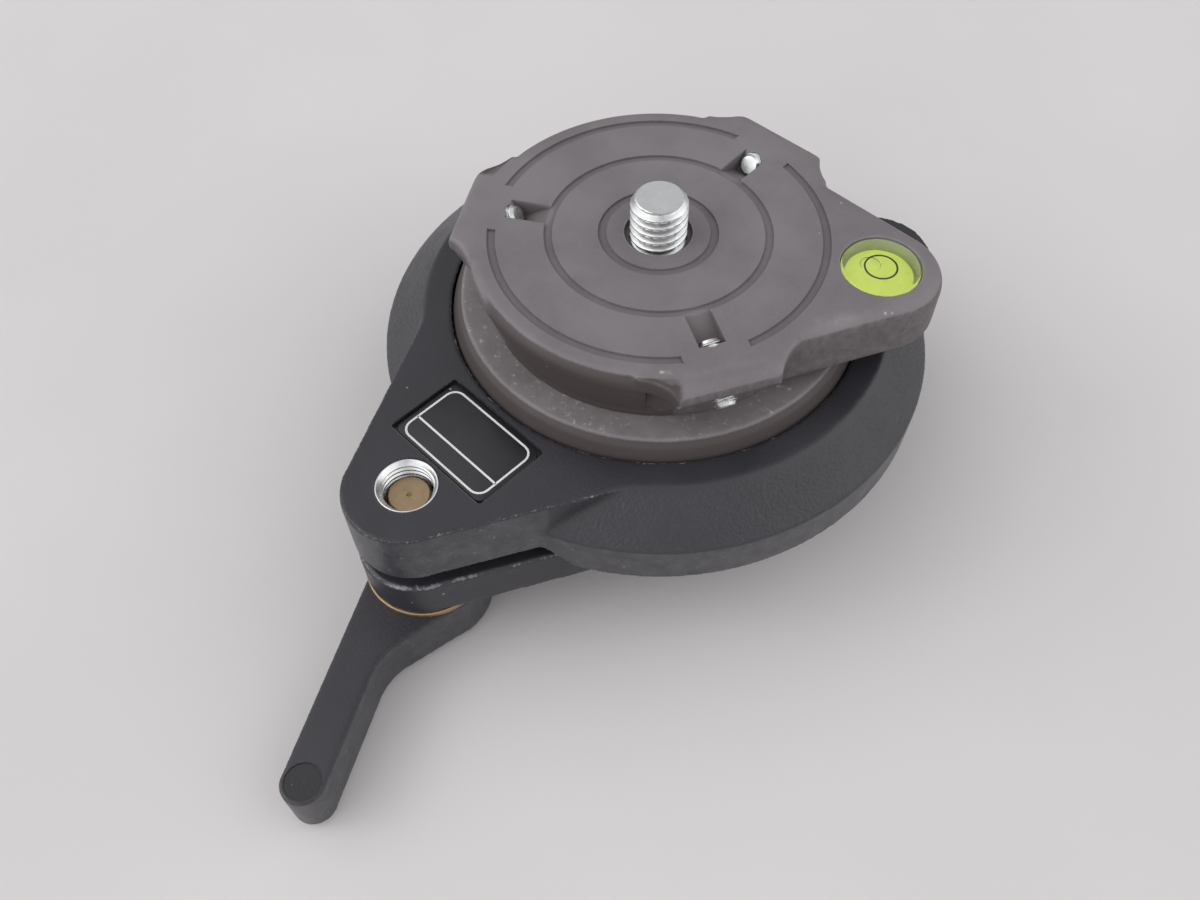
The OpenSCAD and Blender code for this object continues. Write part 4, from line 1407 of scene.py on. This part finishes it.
@dataclass
class BallHead(SubAssembly):
    """Ball, plate, stud and spirit level. Sizes in millimetres, and most pairs are a start and an end."""

    plate_z: float = 51.4
    flange_z: float = 48.4
    plate_r: float = 31.7
    over: float = 1.0
    groove_rs: tuple[float, ...] = (10.0, 19.0, 28.4)
    groove_w: float = 1.4
    groove_depth: float = 0.4
    groove_lean: Point = (0.1, 0.05)
    groove_break: float = 11.0
    break_reach: Point = (5.0, 3.0)
    break_h: float = 4.0
    sink_r: float = 5.66
    sink_depth: float = 1.0
    stud_hole: float = 0.06
    stud_hole_depth: float = 4.0
    screw_turns: tuple[float, ...] = (92.0, 212.0, 332.0)
    tip_out: float = 24.0
    tip_z: float = 50.3
    slope: float = 30.0
    bore_r: float = 2.06
    bore_run: Point = (-0.5, 2.1)
    pocket_w: float = 4.4
    pocket_run: Point = (-10.5, 1.0)
    pocket_h: float = 6.0
    plug_depth: float = 4.2
    plug_inner: float = 15.5
    plug_past: float = 2.0
    plug_half: float = 3.2
    face_plug: Point = (1.1, 1.8)
    stud_plug: float = 0.8
    neck_r: float = 29.2
    fill_rs: Point = (27.0, 28.7)
    fill_gap: float = 0.1
    fill_inset: float = 0.05
    fill_lap: float = 0.3
    lobe_spread: float = 22.0
    vial_spread: float = 44.0
    wedge_z: float = 30.0
    wedge_h: float = 30.0
    wedge_r: float = 60.0
    lobe_r: float = 34.2
    lobe_w: float = 16.5
    lobe_z: float = 43.0
    trim: float = 1.0
    trim_side: float = 0.3
    trim_low: float = 0.2
    trim_brow: float = 2.3
    trim_lap: float = 0.1
    trim_reach: float = 40.0
    side_across: Point = (6.6, 8.0)
    side_end: float = 15.5
    side_fade: float = 2.0
    side_along: Point = (25.5, 27.5)
    side_rise: float = 1.0
    side_steps: int = 25
    arm_drop: float = 0.8
    arm_lap: float = 1.0
    vial_lobe_r: float = 10.1
    wall_soil_and_shade: float = 0.55
    soil_and_shade_reach: Point = (29.4, 30.2)
    soil_and_shade_below: Point = (1.0, 1.5)
    soil_and_shade_start: Point = (0.7, 1.2)
    soil_and_shade_steep: Point = (0.22, 0.5)
    soiled_and_shaded_lobes: tuple[float, ...] = (212.0, 332.0)
    hollow_reach: Point = (31.0, 31.4)
    hollow_skin: float = 0.05
    hollow_below: Point = (0.15, 0.6)
    hollow_turn: Point = (11.5, 14.5)
    hollow_end: float = 86.0
    hollow_fade: float = 14.0
    marks: tuple[Mark, ...] = (
        Mark((20.8, -21.6, 51.1), (22.2, -20.6, 51.0), 0.45, 1.0),
        Mark((24.0, -19.6, 50.6), (30.2, -8.6, 50.6), 1.1, 0.42),
        Mark((37.3, 11.9, 50.8), (37.3, 11.9, 50.8), 0.28, 1.0),
        Mark((38.0, 12.8, 50.7), (38.0, 12.8, 50.7), 0.22, 1.0),
        Mark((31.4, 2.6, 51.3), (34.4, 7.4, 51.2), 2.0, 0.3),
        Mark((17.3, -24.8, 47.1), (18.2, -24.3, 47.1), 0.9, 0.5))
    disc_z: float = 39.3
    disc_soil_and_shade: Point = (0.1, 0.5)
    disc_top_light: float = 0.33
    disc_band: Point = (0.2, 0.05)
    disc_marks: tuple[Mark, ...] = (
        Mark((34.3, -7.2, 39.2), (34.9, -4.0, 39.2), 0.3, 0.42),
        Mark((35.1, -0.6, 39.1), (34.7, 5.6, 39.1), 0.32, 0.5),
        Mark((20.0, -29.0, 39.2), (27.0, -22.6, 39.2), 0.5, 0.3))
    stud_r: float = 4.7625
    stud_top: float = 58.8
    stud_edge: float = 0.9
    stud_taper: float = 1.05
    stud_pitch: float = 1.5875
    stud_depth: float = 0.93
    stud_run: Point = (0.9, 0.02)
    stud_neck: float = 0.6
    neck_drop: Point = (1.3, 1.0)
    head_z: float = 26.3
    head_h: float = 5.5
    head_r: float = 8.083
    head_edge: float = 0.5
    vial_out: float = 36.5
    vial_turn: float = 32.0
    vial_r: float = 6.45
    vial_low: float = 45.6
    vial_top: float = 51.25
    vial_bevel: float = 0.2
    vial_edge: float = 0.45
    cup_inset: Point = (0.2, 0.05)
    cup_ends: Point = (0.25, 0.5)
    liquid_low: float = 46.2
    liquid_r: float = 5.45
    liquid_h: float = 1.8
    liquid_edge: float = 0.3
    dome_r: float = 24.0
    dome_rs: tuple[float, ...] = (5.45, 5.2, 4.6, 3.8, 2.8, 1.6, 0.0)
    ring_r: float = 2.75
    ring_w: float = 0.3
    ring_t: float = 0.1
    ring_sink: float = 0.4
    bubble_r: float = 1.7
    bubble_h: float = 0.45
    bubble_sink: float = 0.4
    bubble_off: float = 2.3
    bubble_turn: float = 132.0

    def build(self) -> None:
        """Builds and dresses the pieces that turn with the ball."""
        self._ball()
        self._plate()
        self._stud()
        self._vial()
        self.keep(Slot.OXIDE, "plate_screws", "stud_washer")
        self.keep(Slot.BACKING, "vial_backing")
        self.keep(Slot.FIBRE, "outer_liner")
        self.keep(Slot.NYLON, "inner_liner")

    def _ball(self) -> None:
        """Builds the ball with its softened flat top."""
        casting = Casting("leveling_ball", "ball_casting", voxel=0.36, soften=1)
        ball = casting.copy()
        casting.cast(ball)
        casting.feel_edges(ball)
        heights = (coordinates(ball.data) / MM)[:, 2]
        # The ball below the disc's top is darkened: dirt and painted shade
        store(ball.data, SOIL_AND_SHADE, ease(self.disc_z - heights, *self.disc_soil_and_shade))
        # Painted light: the disc's top is lightened with the pale haze against the plate's shade
        low, high = (self.disc_z - drop for drop in self.disc_band)
        casting.scuff_and_light(ball, self.disc_marks, self.disc_top_light * ease(heights, low, high))
        casting.thin(ball)
        shade(ball, 60)
        self.fit(ball, Body.BALL, Slot.TAUPE, "leveling_ball")

    def _plate(self) -> None:
        """Builds the plate with its lobes and grooves, and marks its worn places."""
        casting = Casting("top_plate", "plate_casting", voxel=0.27, soften=3, feel=40)
        plate = casting.copy()
        casting.cast(plate, self._plate_plugs())
        casting.soften_some(plate, self._lobe_sides(coordinates(plate.data) / MM), self.side_steps)
        for tool in self._plate_cuts():
            combine(plate, tool, Cut.REMOVE, SHARP)
        casting.feel_edges(plate)
        casting.scuff_and_light(plate, self.marks)
        # The plate's walls under its edge and its hollows are darkened: dirt and painted shade
        store(plate.data, SOIL_AND_SHADE, self._soiled_and_shaded_sides(plate))
        casting.thin(plate)
        shade(plate, 42)
        self.fit(plate, Body.BALL, Slot.TAUPE, "top_plate")

    def _soiled_and_shaded_sides(self, plate: bpy.types.Object) -> np.ndarray:
        """Returns how much each point of the plate belongs to its soiled walls, darkened as dirt and as
        painted shade.

        Args:
            plate: The finished skin.

        Returns:
            Soil and painted shade from 0 to 1, most in the hollows between the screw lobes.
        """
        places = coordinates(plate.data) / MM
        steep = 1.0 - normals_of(plate.data)[:, 2]
        turns = np.degrees(np.arctan2(places[:, 1], places[:, 0]))
        reach = reach_of(places)
        below = self.plate_z - places[:, 2]
        outside = np.maximum(ease(reach, *self.soil_and_shade_reach), ease(below, *self.soil_and_shade_below))
        soil_and_shade = self.wall_soil_and_shade * outside * ease(below, *self.soil_and_shade_start) * ease(steep, *self.soil_and_shade_steep)
        brink = ease(reach, *self.hollow_reach) * ease(below, -self.hollow_skin, self.hollow_skin)
        hollow = np.maximum(brink, outside * ease(below, *self.hollow_below))
        for turn in self.soiled_and_shaded_lobes:
            before = (turn - turns) % 360
            sector = ease(before, *self.hollow_turn) * ease(self.hollow_end - before, 0, self.hollow_fade)
            soil_and_shade = np.maximum(soil_and_shade, hollow * sector)
        return soil_and_shade

    def _lobe_sides(self, places: np.ndarray) -> np.ndarray:
        """Returns how much each point of the plate belongs to the hollow sides of the screw lobes."""
        weight = np.zeros(len(places))
        upper = ease(places[:, 2], self.flange_z, self.flange_z + self.side_rise)
        for turn in self.screw_turns:
            out = np.array((math.cos(math.radians(turn)), math.sin(math.radians(turn)), 0.0))
            along = places @ out
            across = np.abs(places @ np.array((-out[1], out[0], 0.0)))
            beside = ease(across, *self.side_across) * ease(self.side_end - across, 0.0, self.side_fade)
            weight = np.maximum(weight, beside * ease(along, *self.side_along) * upper)
        return weight

    def _screw_frames(self) -> list[Matrix]:
        """Returns the place of each set screw's tip, with X along the screw to its outer end."""
        tip = Matrix.Translation(Vector((self.tip_out, 0, self.tip_z)) * MM)
        slope = Matrix.Rotation(math.radians(self.slope), 4, "Y")
        return [turned(turn) @ tip @ slope for turn in self.screw_turns]

    def _plate_plugs(self) -> list[bpy.types.Object]:
        """Returns solids that fill the plate's grooves, pockets and stud hole, and its leaning walls."""
        low = self.plate_z - self.plug_depth
        past, depth = self.face_plug
        plugs = [prism("face_plug", self.groove_rs[-1] + past, self.plate_z - depth, self.plate_z, 128),
                 prism("stud_plug", self.sink_r + self.stud_plug, low, self.plate_z, 64)]
        end = self.tip_out + self.plug_past
        for turn in self.screw_turns:
            plug = bar("pocket_plug", self.plug_inner, end, self.plug_half, low, self.plate_z)
            plugs.append(swing(plug, turn))
        return [*plugs, self._neck_fill(), self._arm_fill()]

    def _arm_fill(self) -> bpy.types.Object:
        """Returns the lower edge of the arm that carries the vial."""
        lean = math.acos((self.neck_r - self.vial_lobe_r) / self.vial_out)
        low = self.lobe_z - self.arm_drop
        neck = [(self.neck_r * math.cos(a), self.neck_r * math.sin(a)) for a in (lean, -lean)]
        lobe = [(self.vial_out + self.vial_lobe_r * math.cos(a), self.vial_lobe_r * math.sin(a))
                for a in np.linspace(-lean, lean, 25)]
        corners = [Vector((x, y, low)) for x, y in (*neck, *lobe)]
        fill = extrusion("arm_fill", corners, Vector((0, 0, self.arm_drop + self.arm_lap)))
        return swing(fill, self.vial_turn)

    def _neck_fill(self) -> bpy.types.Object:
        """Returns the leaning walls under the plate's edge, between its lobes."""
        inner, foot = self.fill_rs
        brim = self.plate_r - self.fill_inset
        low, high = self.disc_z + self.fill_gap, self.flange_z + self.fill_lap
        fill = lathe("neck_fill", [(inner, low), (foot, low), (brim, self.flange_z), (brim, high),
                                   (inner, high), (inner, low)], 180)
        gaps = [(turn, self.lobe_spread) for turn in self.screw_turns]
        for turn, spread in (*gaps, (self.vial_turn, self.vial_spread)):
            sides = [math.radians(-spread), math.radians(spread)]
            corners = [(0, 0), *((self.wedge_r * math.cos(a), self.wedge_r * math.sin(a)) for a in sides)]
            wedge = extrusion("lobe_wedge", [Vector((x, y, self.wedge_z)) for x, y in corners],
                              Vector((0, 0, self.wedge_h)))
            combine(fill, swing(wedge, turn), Cut.REMOVE, SHARP)
        return fill

    def _plate_cuts(self) -> Iterator[bpy.types.Object]:
        """Yields the cutters of the plate: lobe walls, grooves, stud hole, pockets and screw bores."""
        low, brow = self.lobe_z - self.trim_low, self.plate_z - self.trim_brow
        wall = [(self.neck_r - self.trim, low), (self.trim_reach, low), (self.trim_reach, brow),
                (self.lobe_r + self.trim_lap, brow)]
        for turn in self.screw_turns:
            yield swing(crosswise("lobe_trim", wall, self.lobe_w / 2 - self.trim_side), turn)
        for r in self.groove_rs:
            yield self._groove(r)
        hole, above = self.stud_r + self.stud_hole, self.plate_z + self.over
        bottom, step = self.plate_z - self.stud_hole_depth, self.plate_z - self.sink_depth
        yield lathe("stud_cut", [(0, bottom), (hole, bottom), (hole, step), (self.sink_r, step),
                                 (self.sink_r, above), (0, above)])
        inner, outer = self.pocket_run
        notch = [(inner, -self.bore_r), (outer, -self.bore_r), (outer, self.pocket_h), (inner, self.pocket_h)]
        for place in self._screw_frames():
            pocket = crosswise("pocket_cut", notch, self.pocket_w / 2)
            pocket.data.transform(place)
            yield pocket
            bore = prism("bore_cut", self.bore_r, *self.bore_run, 48)
            bore.data.transform(place @ Matrix.Rotation(math.pi / 2, 4, "Y"))
            yield bore

    def _groove(self, r: float) -> bpy.types.Object:
        """Returns the cutter of one ring groove, broken at the screw lobes if it is the last.

        Args:
            r: Outer radius of the groove.

        Returns:
            The cutter.
        """
        inner, floor, above = r - self.groove_w, self.plate_z - self.groove_depth, self.plate_z + self.over
        lean_in, lean_out = self.groove_lean
        groove = lathe("groove_cut", [
            (inner + lean_in, floor), (r - lean_out, floor), (r, self.plate_z), (r, above), (inner, above),
            (inner, self.plate_z), (inner + lean_in, floor)], 180)
        if r == self.groove_rs[-1]:
            half, low = r * math.sin(math.radians(self.groove_break)), floor - self.over
            before, past = self.break_reach
            for turn in self.screw_turns:
                stop = bar("groove_break", r - before, r + past, half, low, low + self.break_h)
                combine(groove, swing(stop, turn), Cut.REMOVE, SHARP)
        return groove

    def _stud(self) -> None:
        """Builds the stud with its thread and its hexagon head."""
        root, tip = self.stud_run
        thread = Thread(self.stud_r, self.stud_pitch, self.stud_depth, self.plate_z - root,
                        self.stud_top - tip)
        crown = self.stud_top - self.stud_edge
        wall = [(self.stud_r - max(0.0, z - crown) * self.stud_taper, z) for z in thread.heights()]
        upper, lower = self.neck_drop
        stud = lathe("threaded_stud", [
            (0, self.head_z), (self.stud_r, self.head_z), (self.stud_r, self.plate_z - upper),
            (self.stud_r - self.stud_neck, self.plate_z - lower), *wall, (0, self.stud_top)], 120)
        thread.chase(stud)
        head = prism("stud_head", self.head_r, self.head_z, self.head_z + self.head_h, 6, self.head_edge)
        combine(stud, head, Cut.JOIN)
        shade(stud, 50)
        self.fit(stud, Body.BALL, Slot.STEEL, "top_stud")

    def _vial(self) -> None:
        """Builds the spirit level: clear body, pale wall, liquid, centring ring and bubble."""
        base, edge = self.vial_low, self.vial_bevel
        crown = round_over(self.vial_r, self.vial_top, self.vial_edge, 6)
        body = lathe("vial_glass", [(0, base), (self.vial_r - edge, base), (self.vial_r, base + edge), *crown,
                                    (0, self.vial_top)])
        self._set_in_arm(body, Slot.ACRYLIC, "vial_body")
        inner, outer = (self.vial_r - inset for inset in self.cup_inset)
        low, high = self.vial_low + self.cup_ends[0], self.vial_top - self.cup_ends[1]
        self._set_in_arm(tube("vial_wall", inner, outer, low, high, 96), Slot.BACKING)
        base, edge, brim = self.liquid_low, self.liquid_edge, self.liquid_low + self.liquid_h
        dome = [(r, brim - edge + self._rise(r)) for r in self.dome_rs]
        liquid = lathe("vial_spirit", [(0, base), (self.liquid_r - edge, base), (self.liquid_r, base + edge),
                                       *dome])
        self._set_in_arm(liquid, Slot.LIQUID, "vial_liquid")
        low = self.vial_top - self.ring_sink
        ring = tube("vial_ring_mark", self.ring_r - self.ring_w, self.ring_r, low, low + self.ring_t, 72)
        self._set_in_arm(ring, Slot.INK, "vial_ring")
        middle = brim + self._rise(0) - self.bubble_sink
        lens = [(abs(self.bubble_r * math.sin(a)), self.bubble_h * math.cos(a) + middle)
                for a in np.linspace(math.pi, 0, 15)]
        aside = turned(self.bubble_turn) @ Matrix.Translation((self.bubble_off * MM, 0, 0))
        self._set_in_arm(lathe("vial_bubble_air", lens, 48), Slot.BUBBLE, "vial_bubble", aside=aside)

    def _set_in_arm(self, obj: bpy.types.Object, slot: Slot, *nodes: str,
                    aside: Matrix | None = None) -> None:
        """Moves a piece of the spirit level from the Z axis to its place in the arm and fits it.

        Args:
            obj: The piece, turned on the Z axis.
            slot: The material slot that it takes its finish from.
            *nodes: CAD nodes that it stands for.
            aside: Its place off the level's own axis, or None where it is on it.
        """
        arm = turned(self.vial_turn) @ Matrix.Translation((self.vial_out * MM, 0, 0))
        obj.data.transform(arm if aside is None else arm @ aside)
        self.fit(obj, Body.BALL, slot, *nodes)

    def _rise(self, reach: float) -> float:
        """Returns the dome's height over its edge at a distance from the level's axis."""
        edge = math.sqrt(self.dome_r ** 2 - self.liquid_r ** 2)
        return math.sqrt(self.dome_r ** 2 - reach ** 2) - edge


@dataclass
class SetScrews(SubAssembly):
    """Three inclined set screws, modelled once and copied. Sizes in millimetres."""

    radius: float = 2.0
    length: float = 10.5
    pitch: float = 0.7
    depth: float = 0.3
    edge: float = 0.5
    over: float = 1.0
    socket_r: float = 1.15
    socket_depth: float = 2.0
    tip_out: float = 24.0
    tip_z: float = 50.3
    slope: float = 30.0
    turns: tuple[float, ...] = (92.0, 212.0, 332.0)
    bodies: tuple[Body, ...] = (Body.SCREW_1, Body.SCREW_2, Body.SCREW_3)

    def build(self) -> None:
        """Builds one screw on the Z axis and sets a copy in each lobe."""
        blank = self._blank()
        tip = Matrix.Translation((self.tip_out * MM, 0, self.tip_z * MM))
        slope = Matrix.Rotation(math.pi / 2 + math.radians(self.slope), 4, "Y")
        for number, (body, turn) in enumerate(zip(self.bodies, self.turns), 1):
            screw = place_new(f"lobe_screw_{number}", blank.data.copy())
            screw.data.transform(turned(turn) @ tip @ slope)
            self.fit(screw, body, Slot.STEEL, body.value)
        bpy.data.objects.remove(blank, do_unlink=True)

    def _blank(self) -> bpy.types.Object:
        """Returns a threaded screw with its socket, upright on the Z axis."""
        thread = Thread(self.radius, self.pitch, self.depth, self.edge, self.length - self.edge)
        wall = [(self.radius, z) for z in thread.heights(14)]
        end_r = self.radius - self.edge
        blank = lathe("screw_blank", [(0, 0), (end_r, 0), *wall, (end_r, self.length), (0, self.length)], 64)
        thread.chase(blank)
        floor = self.length - self.socket_depth
        socket = prism("screw_socket", self.socket_r, floor, self.length + self.over)
        combine(blank, socket, Cut.REMOVE)
        shade(blank, 45)
        return blank


# Studio


@dataclass(frozen=True)
class Glow:
    """Soft bright part of the surround, in degrees round and up, with its spread and its light."""

    turn: float
    rise: float
    spread: float
    light: float

    def way(self) -> Triple:
        """Returns the direction of its middle."""
        turn, rise = math.radians(self.turn), math.radians(self.rise)
        return (math.cos(turn) * math.cos(rise), math.sin(turn) * math.cos(rise), math.sin(rise))


@dataclass
class Studio:
    """Floor, light and camera. Sizes in metres."""

    floor_size: float = 6.0
    floor_colour: Colour = (0.625, 0.597, 0.594)
    floor_shade: float = 0.95
    floor_ramp: Point = (0.3, 0.7)
    floor_rough: float = 0.75
    floor_specular: float = 0.25
    floor_bump: float = 0.12
    floor_depth: float = 0.4 * MM
    surround: float = 0.3
    surround_colour: Colour = (0.97, 0.98, 1.0)
    glows: tuple[Glow, ...] = (
        Glow(235, 32, 68, 1.45), Glow(32, 28, 66, 1.25), Glow(312, 6, 34, 1.0), Glow(135, 52, 26, 0.5))
    lamp: Glow = Glow(235, 42, 0, 0.8)
    lamp_size: float = 0.35
    lamp_colour: Colour = (1.0, 0.985, 0.96)
    lamp_aim: Triple = (0, 0, 0.02)
    camera_place: Triple = (0.08901, -0.10088, 0.17911)
    camera_aim: Triple = (0.00901, -0.02309, 0.021)
    camera_roll: float = -0.994
    lens: float = 33.0
    sensor: float = 36.0
    clip_start: float = 0.01

    def build(self) -> None:
        """Sets up the whole studio."""
        bpy.context.scene.view_settings.view_transform = "Standard"
        self._floor()
        self._light()
        self._camera()

    def _floor(self) -> None:
        """Lays the pale floor."""
        deselect()
        bpy.ops.mesh.primitive_plane_add(size=self.floor_size)
        floor = bpy.context.active_object
        floor.name = "floor"
        material = bpy.data.materials.new("pale_paper")
        material.use_nodes = True
        n = Nodes(material.node_tree)
        shader = material.node_tree.nodes["Principled BSDF"]
        place = n.add("ShaderNodeTexCoord").outputs["Object"]
        tone = n.ramp(n.noise(place, 9.0, detail=4.0), *self.floor_ramp)
        low = tuple(self.floor_shade * c for c in self.floor_colour)
        n.put(shader.inputs["Base Color"], n.blend(tone, low, self.floor_colour))
        n.put(shader.inputs["Roughness"], self.floor_rough)
        n.put(shader.inputs["Specular IOR Level"], self.floor_specular)
        grain = n.noise(place, 320.0, detail=3.0)
        bump = n.add("ShaderNodeBump", {
            "Strength": self.floor_bump, "Distance": self.floor_depth, "Height": grain})
        n.put(shader.inputs["Normal"], bump.outputs["Normal"])
        floor.data.materials.append(material)
        floor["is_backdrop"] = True

    def _light(self) -> None:
        """Hangs a soft lamp in a surround that is brighter at its sides, front and back."""
        world = bpy.data.worlds.new("surround")
        world.use_nodes = True
        n = Nodes(world.node_tree)
        background = world.node_tree.nodes["Background"]
        n.put(background.inputs["Color"], self.surround_colour)
        way = n.add("ShaderNodeTexCoord").outputs["Generated"]
        light: object = self.surround
        for glow in self.glows:
            toward = n.add("ShaderNodeVectorMath", {0: way, 1: glow.way()}, operation="DOT_PRODUCT")
            edge = math.cos(math.radians(glow.spread))
            light = n.calc("ADD", light, n.ramp(toward.outputs["Value"], edge, 1.0, 0.0, glow.light))
        n.put(background.inputs["Strength"], light)
        bpy.context.scene.world = world
        lamp = bpy.data.lights.new("window", "AREA")
        lamp.shape = "DISK"
        lamp.size = self.lamp_size
        lamp.energy = self.lamp.light
        lamp.color = self.lamp_colour
        holder = place_new("window", lamp)
        holder.location = self.lamp.way()
        holder.rotation_euler = (Vector(self.lamp_aim) - holder.location).to_track_quat("-Z", "Y").to_euler()

    def _camera(self) -> None:
        """Puts the camera at the photograph's angle."""
        data = bpy.data.cameras.new("camera")
        data.lens = self.lens
        data.sensor_width = self.sensor
        data.sensor_fit = "HORIZONTAL"
        data.clip_start = self.clip_start
        camera = place_new("camera", data)
        place = Vector(self.camera_place)
        ahead = (Vector(self.camera_aim) - place).normalized()
        level = ahead.cross(Vector((0, 0, 1))).normalized()
        above = level.cross(ahead)
        roll = math.radians(self.camera_roll)
        right = math.cos(roll) * level + math.sin(roll) * above
        up = -math.sin(roll) * level + math.cos(roll) * above
        matrix = Matrix((right, up, -ahead)).transposed().to_4x4()
        matrix.translation = place
        camera.matrix_world = matrix
        bpy.context.scene.camera = camera


def write_sizes() -> None:
    """Works out the CAD box and the finished model's box as plain numbers."""
    boxes = {"cad": CAD_BOX, "visual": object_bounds()}
    plain = {name: [[float(v) for v in corner] for corner in box] for name, box in boxes.items()}


def main() -> None:
    """Builds the studio and every sub-assembly in order."""
    logging.basicConfig(level=logging.INFO, format="%(message)s")
    Studio().build()
    wardrobe = Wardrobe()
    for group in (ClampBase(wardrobe), LeverGroup(wardrobe), BallHead(wardrobe), SetScrews(wardrobe)):
        group.build()
        LOG.info("%s done, %d pieces", type(group).__name__, len(group.pieces))
    write_sizes()


if __name__ == "__main__":
    main()
